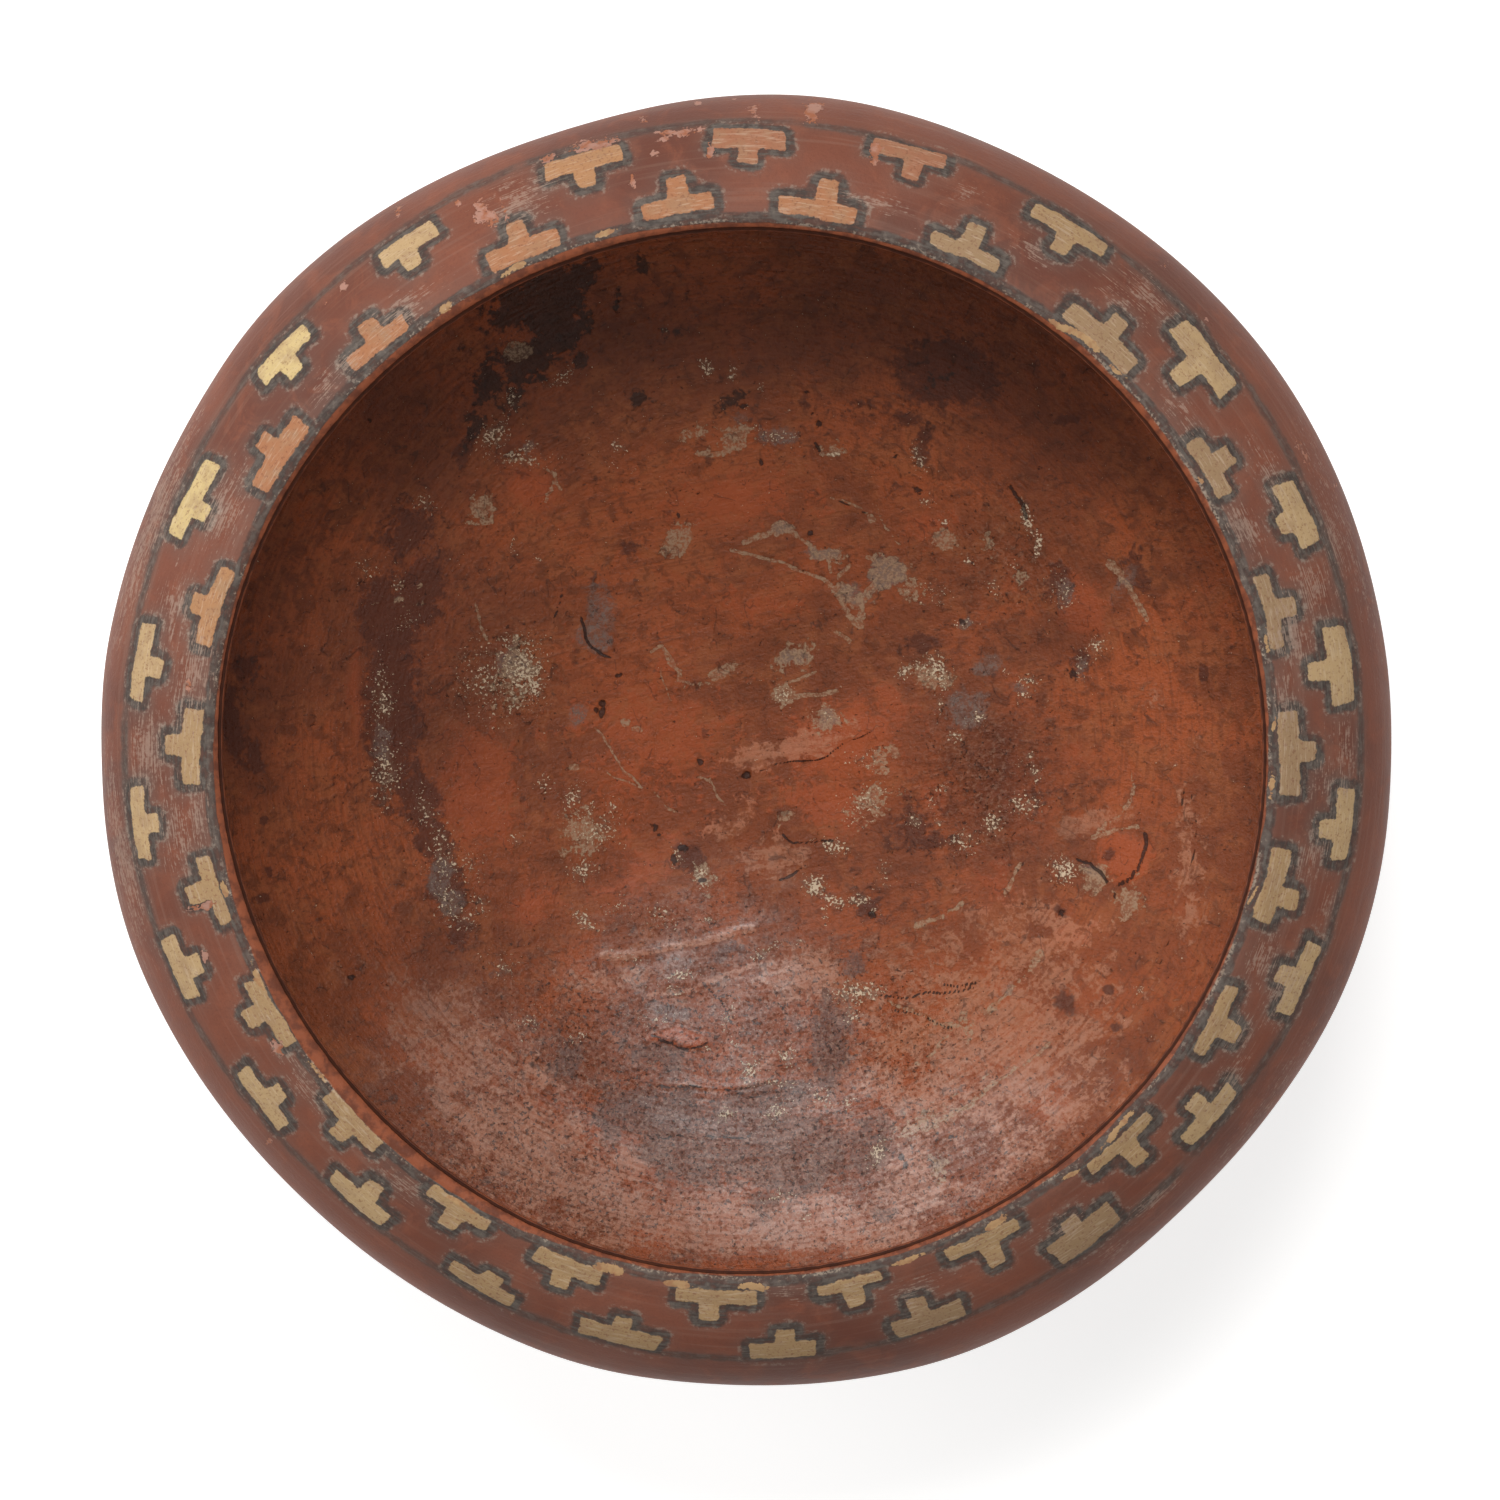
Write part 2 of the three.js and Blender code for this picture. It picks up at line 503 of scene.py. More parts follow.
class MarkedSurface:
    """Marks of several kinds, each of which a mesh carries as numbers for its shader."""

    def __init__(self, kinds: dict[str, tuple[Mark, ...]]) -> None:
        """Keeps the marks by kind."""
        self.kinds = kinds

    def cover(self, kind: str, points: Array) -> Array:
        """How far the marks of one kind cover each point."""
        x, y = points[:, 0], points[:, 1]
        found = np.zeros_like(x)
        for mark in self.kinds[kind]:
            found = np.maximum(found, mark.cover(x, y))
        return found

    def write(self, mesh: bpy.types.Mesh, points: Array) -> None:
        """Stores every kind of mark on a mesh.

        Args:
            mesh: The mesh.
            points: Its points, in millimetres.
        """
        strayed = points + STRAY * wander(points)
        for kind in self.kinds:
            write_numbers(mesh, kind, self.cover(kind, strayed))


LINING_MARKS = MarkedSurface({
    # near-black stain that ran down from the lip, and sooted spots of the upper wall
    "soot": blots(
        (-39.5, 85, 12, 19, 1.2, 5), (-34, 90.5, 7, 6), (-31.5, 93, 6, 6, 0.8),
        (-47, 85, 13, 18, 0.85, -15), (-45, 74, 12, 9, 1.05, 20), (-51.5, 70, 9, 15, 0.78, -20),
        (-55.5, 61, 5, 12, 0.72, -25), (-47, 66.5, 4.5, 8, 0.82, -20), (-33.5, 74.5, 4.4, 3.6, 0.95),
        (-21.5, 93, 4, 6, 0.72), (-21.5, 66.5, 5.4, 3.2, 0.85), (-26.5, 86.5, 2, 9, 0.72, -15),
        (-17, 79, 7, 5, 0.62, 20), (-3, 66, 8, 6, 0.66), (38, 71, 18, 9, 0.62), (-60, 77, 8, 12, 0.4),
    ),
    # purple-brown stain down the left side, and dark patches
    "umber": blots(
        (-71.5, 5, 11, 36, 1.05), (-72, 24, 14, 18, 0.95), (-66, 28, 9, 18, 0.98, -10),
        (-68, 40, 13, 14, 0.8), (-66.5, -13, 9, 13, 0.98, 25), (-63.5, -22, 7, 13, 0.98, 25),
        (-61, -31, 7, 14, 0.92, 15), (-58.5, -40, 5, 9, 0.82, 15), (-57, 57, 4, 9, 0.9, -20),
        (-102, 2, 4, 14, 1.1, 5), (-98.5, -5, 3.6, 10, 0.95, 15), (-100, 13, 5, 6, 0.95),
        (-97, -32.5, 3.6, 2.2, 0.95, 10), (-95.7, -27, 1.8, 2.6, 0.95), (-96.7, -17.4, 1.7, 1.7),
        (39, 71.5, 20, 13, 1.05, -5), (30, 62, 10, 6, 0.6), (34, 57, 5, 9, 0.75, 10), (63, 62, 5, 3, 0.85),
        (62, 30, 6, 11, 0.8), (66, 14, 6, 8, 0.75, 20), (76, 33, 6, 13, 0.66, 15), (33, -20, 18, 14, 0.72),
        (24, -36, 9, 8, 0.75), (63.2, -54, 4.6, 6.4, 0.95, 15), (62, -36, 3.6, 2.8, 0.85),
        (71.3, -51.3, 2, 2, 1.15), (72.5, -57.5, 3, 2, 0.85), (-24.5, 37, 4.2, 5, 0.8),
        (-31, 30, 4.4, 4.4, 0.62), (-12, -26, 7, 6, 0.85), (71.5, -24.4, 3, 4, 0.95, -15),
        (34, 17, 8, 4, 0.75), (-5, -45, 10, 4, 0.75, 15), (-15, -57, 10, 6, 0.7), (57, -12, 20, 14, 0.55),
        (89.4, 12.4, 2.4, 2.4, 1.1), (-30, 10, 8, 5, 0.5, 20), (20, 65, 60, 8, 0.5),
    ),
    # painted shade with some brown staining: a soft brown wash over the upper and left walls and parts of
    # the right wall, where they lie in shade
    "stain_and_shade": blots(
        (-62, 50, 30, 30, 0.62, 30), (-68, 12, 40, 70, 0.66), (-50, 62, 34, 30, 0.62, 130),
        (-70, 66, 44, 50, 0.66, 45), (0, 78, 150, 32, 0.58), (54, 66, 60, 34, 0.72, -45),
        (-93, 20, 32, 110, 0.5), (-88, -34, 26, 66, 0.36, 20), (-66, -44, 40, 52, 0.5, -30),
        (46, 18, 40, 50, 0.4), (30, -30, 56, 34, 0.36), (50, -8, 34, 40, 0.72), (62, 20, 26, 30, 0.5),
        (-50, -40, 24, 30, 0.4), (20, 62, 90, 14, 0.4), (90, 34, 24, 40, 0.4),
    ),
    # purple-grey stain on the lower wall
    "stain": blots(
        (-24, -75, 14, 11), (-10, -82, 24, 16, 1.05), (8, -84, 28, 15, 1.05), (23, -83, 9, 12),
        (16, -62, 9, 18, 0.95, -10), (20, -47, 7, 7, 0.8), (-14, -76, 14, 9, 0.95), (2, -93, 10, 5, 0.85),
        (-36, -66, 9, 10, 0.78, -20), (-43, -58, 8, 7, 0.62), (0, -74, 26, 7, 0.88, 10),
        (27, -95, 7, 5, 0.72), (-18, -65, 17, 7, 0.78, -10), (-52, -48, 8, 10, 0.5),
    ),
    # crumbs of salt and lime
    "salt": blots(
        (-73.5, 6, 5.4, 15, 0.85), (-73, -8, 5.4, 15, 0.85), (-53, 10, 10, 15, 0.75),
        (-46, 11.5, 9, 13, 1.1), (-43.5, 9, 3.4, 5.4, 1.3), (-65, -16, 5, 10, 0.75, 25),
        (-62, -24, 6, 12, 0.8, 20), (-60.5, -35, 5, 9, 0.8, 15), (-56, -27, 5, 6, 0.75),
        (-55, -35, 4.4, 5, 0.8), (-58, -38, 6, 5, 0.72), (-51.5, 59, 7, 5, 0.95, 30),
        (-47.5, 66, 3, 6, 0.8, -10), (-45, 54.5, 13, 3.6, 0.85), (-43.5, 57, 4, 3, 0.9),
        (-38, 70.5, 7, 3, 0.8, 25), (-36, 73, 2.2, 2.2, 0.85), (-26, 57.5, 3.6, 3, 0.85, 30),
        (-28, 53.5, 3, 1.6, 0.75, -40), (-23, 52, 1.6, 1.6, 0.75), (-47, 37, 1.8, 4, 0.8),
        (-43, 34.5, 1.8, 1.8, 0.75), (-65, 46, 4, 5, 0.68, 30), (-70, 30, 3, 5, 0.75),
        (-77, 33, 4, 5, 0.66), (-68, 22, 6, 5, 0.6), (-8.4, 73.3, 2.2, 2.6, 1.1),
        (-4, 71.6, 2, 2.8, 1, -30), (2, 68.5, 1.6, 2.4, 0.85), (-17, 79.5, 1.6, 2.2, 0.75),
        (-1.5, 64, 1.8, 1.8, 0.75), (6.8, 63.4, 1.5, 1.5, 0.75), (5, 59, 8, 3, 0.7), (17, 55, 4, 1.4, 0.95),
        (33.4, 55, 2.4, 6.4, 0.85, 20), (35, 46.5, 2.6, 2.6, 0.85), (38, 41.6, 1.7, 1.5, 1.1),
        (43, 33.5, 3, 2.2, 0.85), (48, 28.7, 2.5, 2.5, 0.9), (42, 21.5, 4, 3, 0.8), (52, 33.5, 3, 2, 0.75),
        (62, 28, 4.4, 8, 0.7), (36, 27, 5, 5, 0.64), (54.8, 43.2, 2, 6.4, 1.4, 25),
        (57.3, 37.5, 1.4, 6, 1.2, -15), (31, 11.3, 2.8, 3.2, 1.2), (37, 12.5, 5, 4, 1.1, -20),
        (34, 12.6, 4, 1.7, 1, -20), (39, 9, 2.6, 3, 0.85), (38, 5, 2.2, 5, 0.75), (41, -1, 4, 1.6, 0.95),
        (45, 2.4, 3, 2.2, 0.95, 40), (54.6, 10.5, 3.6, 1.8), (54, 7.5, 2.6, 2.2, 0.95),
        (50.5, 11.4, 1.7, 1.4, 0.85), (69, 17, 4, 4, 0.9), (66, 13.6, 4, 5, 0.7),
        (56, -4.6, 1.6, 2.2, 0.95), (57.3, -8, 2.8, 3.2, 0.9), (54, -7, 3.2, 2.2, 0.7),
        (54.5, -14.5, 8, 5, 0.85, 10), (47.5, -18, 4, 3.6, 1, 20), (42.5, -22, 6, 5, 0.8, -20),
        (38, -11.5, 5, 2, 0.8, 20), (36.2, -15, 1.5, 4, 0.8), (33, -18, 2.8, 2.8),
        (37.6, -17.8, 1.2, 1.2, 1.3), (22.5, -6, 5, 5, 0.7, -40), (22.5, -15, 6, 8, 0.8, -30),
        (26, -12, 3.4, 5, 0.66), (16.5, -23.6, 6.4, 3, 1.1, -10), (11.5, -22.8, 2.2, 2, 0.75),
        (12.3, -31.5, 4.2, 3.4, 1.4, -10), (16.5, -34.5, 5, 2.6, 1.2, -30), (21.5, -34, 5, 2.6, 1.05, 10),
        (15, -37.5, 1.8, 4, 0.85), (24.5, -36.5, 2.4, 2.4, 0.85), (27, -27.5, 3.2, 4, 0.7),
        (27, -31, 5, 1.7, 0.7), (-33.5, -38, 6, 3, 0.85, -40), (-27, -36, 5, 5, 0.7),
        (-18.5, -37.5, 7, 4, 0.8, 10), (-9, -38.5, 2.6, 2.2, 0.85), (-25, -45.5, 6, 2.2, 0.8, -20),
        (-13.5, -49, 6, 2, 0.95, 10), (-15.5, -52, 6, 2.2, 0.95, -5), (-20, -58, 8, 3, 0.7),
        (2.5, -44.5, 6, 2, 1.05, 30), (9.5, -43, 2, 1.2, 0.85), (-4, -57, 2.2, 7, 0.85, -25),
        (22, -52.5, 9, 4, 1.1, 10), (21, -57, 3, 4, 0.85), (0, -68, 3.6, 6.4, 1.1), (7, -65, 5, 5, 0.9, 30),
        (5, -70.7, 7, 2.2, 0.85), (4.5, -76, 6, 3, 1.1, 30), (-5, -76.5, 4, 2.2, 1.2, 20),
        (-8.5, -63, 4, 2.2, 0.85), (-3, -62, 2.2, 3, 0.75), (14, -73, 6, 4, 0.75),
        (19.5, -74, 2.6, 4, 0.9, 10), (25.5, -84, 4, 6, 1.1, -20), (4.5, -92.5, 7, 2.6, 0.9, 10),
        (12, -96, 3, 3, 0.75), (-50, -47, 5, 5, 0.72), (-44, -58, 6, 5, 0.64), (-35, -61, 6, 2.2, 0.66, 10),
        (63, -27.5, 5, 4.4, 1.2), (77, -50.5, 2.2, 2.2, 0.85), (-34.5, -28, 5, 4, 1.05),
        (-30.5, -20, 8, 8, 0.82), (-33.5, -17, 5, 6, 0.76), (-36.5, -13.5, 2.8, 5, 0.95, -35),
        (-28.5, -16, 4, 4, 0.7), (-10.5, -29, 4, 4, 0.95), (-14.5, -26, 2.6, 2.6, 0.85),
        (-9.5, -31.5, 4, 3, 0.8), (-41.5, -11, 4, 4, 0.75), (-47, -22, 4, 3, 0.64, -40),
        (6.6, 6.6, 4, 5, 0.8), (14, 3.4, 5, 2, 0.7),
    ),
    # slip scraped off to the pale clay
    "scrape": blots(
        (5.8, 40.8, 4.4, 2, 1.1), (15, 35, 6.4, 3.2, 1, -15), (18.6, 27.5, 4.4, 3.2, 0.95, -40),
        (20.5, 26, 6.4, 5, 0.78), (27, 31.5, 6.6, 5.6, 1.05, 20), (23.6, 42.3, 2.2, 1.3, 1.2, -30),
        (-14.8, 39, 4.4, 6.8, 0.95, -25), (-4, 58.5, 9, 4, 0.8, 10), (17, 56.5, 5, 3.6, 0.72),
        (8.5, 15, 10, 5, 0.85, 10), (6.8, 7, 4.4, 4.4, 0.9), (14.5, 2.5, 7.4, 5.4, 0.88),
        (-6, 12, 8, 3, 0.8, 30), (-9, 9, 4, 3, 0.64), (-54, 44.5, 4.6, 5.4, 0.88, 40),
        (-46.5, 75.7, 4.6, 4.2, 1.2), (69, -29, 4.8, 5, 0.95, -30), (76, -33, 6, 8, 0.76, -20),
        (43, -59, 4.4, 4, 0.78), (-25.6, 1.6, 1.6, 1.4, 0.95), (-23, 0.6, 2.2, 1.2, 0.85),
        (-35.5, -7.6, 2.5, 1.3, 1.1, -20), (38, 38, 4, 6, 0.74, 60), (47, 37, 3, 6, 0.64),
        (54, 31, 6, 4, 0.66), (24, -14, 8, 11, 0.72, -30), (26, -6, 6, 7, 0.68, -40), (28.6, -4.6, 2, 2),
        (8, -17.5, 6, 4, 0.68), (38, -86, 5.6, 5, 0.85), (32, 28, 6, 5, 0.7), (-34, -21, 9, 15, 0.7, 10),
        (-48, 11, 12, 12, 0.66), (-9.5, -30, 5, 7, 0.75, 20), (36, 11, 9, 4, 0.8, -20),
        (33, -78, 14, 5, 0.64, 25), (-11, 60, 12, 4, 0.6), (-70, 28, 10, 9, 0.5),
    ) + lines(
        (0.9, 1.0, (-0.8, 38), (2.5, 39.5), (4, 40.3)), (0.8, 1.0, (7, 40.4), (10, 38), (13, 36.4)),
        (0.8, 0.95, (15.2, 34), (15.8, 31.5)), (0.8, 1.0, (20, 33), (17.6, 30.6)),
        (0.65, 1.1, (-3.5, 36.5), (0, 35.6), (4.6, 33.8), (9.5, 31.8), (14, 30.2), (17, 28.4)),
        (1.5, 0.95, (15, 29.5), (18, 26.5), (21.3, 21)), (1.2, 0.92, (21.3, 21), (23, 26), (25, 29.4)),
        (0.6, 1.2, (23, 34.6), (25, 33.8)), (0.5, 0.9, (15.5, 47), (20, 44.4), (23, 42.4)),
        (0.7, 0.78, (24.5, 45), (26.6, 40), (30, 37)), (0.9, 1.1, (-11, 55.6), (-6, 56.6), (-1.5, 57.4)),
        (0.6, 0.95, (14.2, 57.5), (14.6, 55.2), (19.5, 55.3)), (0.9, 1.1, (10, 7), (13, 7.3), (17.4, 8.2)),
        (0.7, 1.0, (6, 4), (8, 5.8), (10.5, 6.8)), (0.6, 0.95, (7, 9.3), (10, 10.4), (13.5, 12)),
        (0.55, 1.05, (-20, 15.5), (-18, 16.6), (-17, 14), (-14.3, 12.6), (-15, 10), (-12.5, 9.4), (-11, 9)),
        (0.5, 0.85, (-17.6, 16), (-15, 13), (-14, 10.5)), (0.5, 0.75, (-19, 12), (-17, 7), (-16, 5.8)),
        (0.5, 0.75, (-13, 9), (-13.6, 6.5)),
        (0.5, 1.0, (-31, 0), (-28.4, -3.6), (-25.4, -8.6), (-22.2, -12)),
        (0.45, 0.8, (-30, -8.4), (-26, -10.5), (-22.4, -12.2)),
        (0.6, 0.85, (-20, -13), (-17, -15.2), (-15, -16)), (0.6, 0.9, (-11.5, -9.5), (-9, -11), (-6, -15)),
        (0.8, 0.95, (-9, -10.5), (-7.5, -13)), (0.5, 0.85, (-55.5, 26), (-54, 21), (-52.4, 18)),
        (0.6, 0.85, (-57, 41.3), (-52, 42)), (0.6, 0.85, (-52, 48), (-51.8, 42)),
        (0.8, 0.8, (-41.5, 46.5), (-39.5, 50)),
        (0.9, 0.85, (-49, 53.6), (-45, 54.6), (-41.5, 54), (-39.2, 51.5), (-38.8, 49)),
        (1.4, 0.88, (71.5, 34), (74, 30), (77, 26), (79, 22.6)),
        (0.7, 1.15, (69, -20.8), (72.5, -19.6), (77, -18.6)),
        (0.8, 0.88, (70, -19.5), (74, -16.5), (76.6, -12), (76, -8)),
        (1.5, 0.82, (47, -56.5), (51.5, -52.5), (57, -44.5)), (1.0, 0.8, (28, -54), (36, -58), (44, -60.5)),
        (1.0, 0.7, (32, -66), (40, -60)),
        (0.65, 0.92, (33, -78.6), (42, -74.5), (50, -70), (56, -65), (59, -61.5)),
        (0.8, 0.85, (49.5, -32), (52, -29.5), (54, -27)),
        (1.1, 0.85, (33, -39.6), (38, -37), (41.5, -34.5)), (0.8, 0.95, (16.6, 19.6), (19.4, 17.4)),
        (0.6, 1.0, (24.4, -4), (26.2, -5.4)), (0.5, 0.7, (40, -73), (54, -66)),
    ),
    # blue-grey bloom where the slip has gone
    "ash": blots(
        (-31, 18.8, 5, 5, 1.25, -40), (-30, 25, 6.4, 12, 0.9, -8), (6, 40.8, 4, 1.9, 1.05),
        (5, 59, 9, 3.6, 0.85), (15, 35, 6, 3, 0.9), (27, 31.5, 6.2, 5.4, 1.25, 20),
        (43, 4.5, 6.4, 8, 1.1, -20), (53, 9, 4, 3, 0.78), (-48, 13, 7, 7, 0.95), (-62, -29, 4.6, 6.4),
        (-60, -35, 4.2, 5), (-73.5, -2, 4.4, 12, 0.8), (-34.3, 3, 2.8, 3.2), (-43.5, 57, 3.6, 3, 0.85),
        (42, 21.5, 4, 3, 0.85), (66, 13, 5, 6, 0.66), (62.5, 28, 4.4, 7, 0.75),
        (68.6, -27.6, 4, 3, 0.9, -50), (12, 36, 4, 3, 0.7), (47, 13, 8, 5, 0.72), (21, 27, 8, 6, 0.7, -30),
        (8, 14.5, 9, 4, 0.75), (14.6, 2.4, 7, 5, 0.8), (38, -85.5, 6, 5, 0.8), (52, -51, 10, 4, 0.7, 50),
        (-47.5, 53, 3, 3, 0.5), (74, 30, 4, 10, 0.7, -25), (-2, 62, 6, 4, 0.6),
    ),
    # clay laid bare by flaked slip
    "fresh": blots(
        (-44, 49, 9, 8), (-66.5, 34, 4.4, 5, 0.85), (-78.5, 8, 3.4, 28, 0.72), (-55, -12, 16, 28, 0.85),
        (-20, -5, 44, 46, 0.62, 20), (18, -2, 34, 20, 0.8, 15), (16, -14, 30, 16, 0.7),
        (74, -24.5, 8.6, 9.4, 1.15, 20), (-14, -61.7, 12, 2.8, 1.2, -3), (36.5, -13, 4.4, 6.4, 1.05),
        (66, 25, 9, 13, 0.9, 20), (36, 42, 16, 12, 0.66), (65, -4, 8, 7, 0.66), (-2, 46, 40, 14, 0.66, 5),
        (-24, -30, 26, 16, 0.55, 30), (48, -30, 16, 14, 0.6), (-44, -35, 14, 12, 0.7),
        (0, 25, 30, 10, 0.55), (62, -40, 26, 20, 0.45),
    ),
    # the same rubbed smooth and pale; on the lower wall the patches and the lines along its ridges are also
    # painted highlight where the light catches the burnish
    "rubbed": blots(
        (5, -26, 14, 9, 0.88, 20), (-42, -84, 32, 18, 1.05, -25), (-26, -87, 15, 8, 0.98), (0, -97, 76, 12),
        (10, -50, 18, 12, 0.88, 15), (27, -62, 12, 13, 0.66, 20), (8, -3.5, 28, 7, 0.85, 14),
        (30, -72, 18, 12, 0.8), (-5, -20, 12, 22, 0.55, -25), (14, -89, 22, 4, 0.66),
        (60, -76, 40, 12, 0.7, 40), (32, -89, 20, 12, 0.9, 10), (69, -17.5, 16, 5, 0.9, 10),
        (60, -38, 16, 10, 0.72, -20), (87, -26, 9, 44, 0.66), (66, -52, 20, 10, 0.66, 45),
        (-40, -70, 22, 8, 0.7, -30), (-30, -50, 22, 8, 0.62), (44, 66, 20, 6, 0.5, -40),
        (80, 8, 10, 24, 0.5), (48, -60, 60, 50, 0.78, 40), (-58, -64, 60, 26, 0.68, -45),
        (0, -86, 70, 20, 0.7),
    ) + lines(
        (1.4, 1.05, (-30, -45.4), (-22, -44.2), (-15, -43), (-8, -42), (0, -40.2)),
        (1.3, 0.8, (-20, -53.5), (-12, -51.5), (-5, -49), (2, -47)),
        (0.8, 0.9, (-20, -71.6), (-12, -71.2), (-6, -72)), (1.0, 0.8, (-6, -76), (0, -70), (8, -62)),
    ),
    # burnish that still shines
    "gloss": blots(
        (-8, -50, 54, 40, 0.8), (0, -88, 100, 30, 1.2), (-50, -84, 44, 34, 1.2, -30),
        (-54, -76, 46, 36, 1, -40), (46, -80, 50, 30, 0.8, 35),
    ),
    # stippled with small dark pits
    "pitted": blots(
        (-6, -74, 84, 48, 1.2), (-40, -84, 44, 30, 1.1, -20), (30, -88, 60, 26, 0.9, 10),
        (-12, -40, 40, 16, 0.66, 5), (-48, 11, 18, 18, 0.66), (46, -10, 36, 36, 0.55),
        (50, 34, 30, 26, 0.5), (-14, -56, 12, 8),
    ),
    # dark lines and holes
    "crack": blots(
        (-30.3, 4.8, 1.3, 1.3, 1.3), (-30, 3, 1.2, 1.5, 1.3), (-31.2, 3.4, 0.9, 0.9, 1.2),
        (-0.8, -9, 1.6, 1.2, 1.35), (-11, -6.1, 1.1, 1.1, 1.25), (-19.4, -19.3, 1.2, 1.5, 1.1),
        (-18.2, -20.8, 0.9, 0.9), (-13.3, -24.6, 1.7, 1.2, 1.25), (-15.3, -26.2, 1, 1.5, 1.1),
        (-10.4, -30.6, 1.7, 0.9, 1.1), (-27, 11, 1.3, 0.9, 1.1, 20), (11, 67.5, 0.9, 0.9),
        (13.9, 61, 1, 1, 1.1), (12.6, 62.8, 0.9, 0.9, 0.9), (2, 53.5, 0.9, 1.7, 0.9), (11.6, 39.6, 1, 1),
        (-15, 43.5, 0.9, 0.9), (28.5, 54.8, 0.9, 0.9), (-74.8, 63, 0.9, 0.9, 1.1), (30, -84.5, 1, 1, 1.2),
        (31, -86, 1.1, 1.1, 1.1), (37, -80, 1, 0.9), (40.6, -80.1, 2.6, 0.9), (24, -37.2, 1.3, 1.5, 1.2),
        (64.5, 12, 2.6, 3, 0.75), (62, -36.5, 2, 1.2, 0.9, 30), (41.5, 22, 2.4, 1.6, 0.85),
        (-79.3, -48.7, 1.2, 1), (-1.6, 64.2, 1.6, 1.8, 0.85), (33, 48.7, 3, 1.2, 0.8, -20),
    ) + lines(
        (0.5, 1.25, (78.2, -19.5), (78.6, -23.5), (77.4, -26.6), (75, -29.4), (73.6, -30.4)),
        (0.5, 1.2, (66, -25.6), (68.2, -26.2), (69.8, -28.2), (71, -30)),
        (0.4, 0.9, (72.6, -31), (73, -33)),
        (0.45, 1.1, (-20, -60.6), (-17, -62.8), (-13.4, -63.6), (-9.4, -62.8), (-7.8, -62)),
        (0.45, 1.15, (-33.6, 23), (-33, 18.6), (-32.2, 17), (-28, 15.4)),
        (0.4, 0.9, (-37.4, 27.4), (-38.4, 25), (-39.2, 21.5)),
        (0.4, 0.8, (2, -8), (6, -6.6), (11, -6), (16, -4.8), (19.5, -2.4), (24, 0)),
        (0.5, 0.95, (7, -20.8), (8.6, -22.6), (12, -22.8), (16, -22.4)),
        (0.5, 0.95, (5.6, -30.4), (8, -29.6), (10, -28.4)),
        (0.42, 1.0, (26.6, -53.2), (32, -53), (38, -52.8), (44, -51.2)),
        (0.4, 1.0, (38, -51.2), (44.6, -50.4)), (0.42, 0.85, (29, -55.6), (34, -57), (40, -59.8)),
        (0.4, 0.9, (-20, -71), (-12, -71.7), (-4, -71.6), (2, -73.4)),
        (0.4, 0.8, (-20, -80.6), (-10, -81), (0, -81)), (0.45, 0.9, (-9, -51), (-6, -54), (-3, -58.6)),
        (0.4, 0.85, (6, -54.5), (7.8, -57)), (0.4, 0.7, (-16, 48.4), (-10, 47.4)),
        (0.45, 0.95, (13.4, 58.6), (14.3, 56)), (0.4, 0.9, (15, 46.7), (19, 44.7), (22.6, 42.6)),
        (0.9, 0.9, (51.3, 48.6), (53.6, 45.4), (55, 42.6)), (0.4, 0.7, (87, -8), (88.4, -18), (88, -28)),
        (0.4, 0.6, (85.4, -10), (86, -20)), (0.4, 0.6, (84, -38), (80, -50)),
        (0.4, 0.6, (-28, 97), (-26, 84)),
    ),
})

# How deep the deeper marks are cut, and how far crusts and flakes stand out, in millimetres
LINING_RELIEF: tuple[tuple[Mark, float], ...] = (
    (Patch(73.6, -24.6, 9, 9.6, turn=20), -0.22),
    (Patch(-14, -61.8, 12, 3, turn=-3), -0.16),
    (Patch(-30, 23, 6, 15, turn=-8), 0.22),
    (Patch(-84, -45.6, 3.6, 2.8, turn=30), 0.25),
    (Patch(-0.8, -8.9, 1.7, 1.3), 0.25),
    (Patch(-30.2, 4, 1.5, 2.8), 0.25),
    (Stroke(((-30, -45.4), (-22, -44.2), (-15, -43), (-8, -42), (0, -40.2)), 1.6), -0.05),
    (Stroke(((2, -6.6), (11, -4.6), (19, -1)), 2.6), -0.07),
    (Stroke(((-20, -72), (-10, -72.5), (4, -71.5)), 1.2), 0.12),
    (Patch(27, 31.5, 6.4, 5.4, turn=20), 0.12),
    (Patch(-48, 12, 10, 10), -0.12),
    (Patch(62.5, -28, 5, 4), -0.15),
    (Patch(43, 4, 7, 8), 0.1),
    (Patch(12, 5, 13, 9, turn=20), 0.1),
    (Stroke(((-3.5, 36.5), (4.6, 33.8), (14, 30.2)), 0.8), 0.08),
)


# The painted frieze


class Paint(Enum):
    """The slips that fill the frieze's figures."""

    CREAM = srgb(180, 151, 111)
    STRAW = srgb(198, 173, 122)
    TAN = srgb(164, 134, 97)
    DUN = srgb(152, 124, 93)
    ORANGE = srgb(162, 110, 77)
    AMBER = srgb(168, 123, 86)
    PINK = srgb(154, 103, 77)


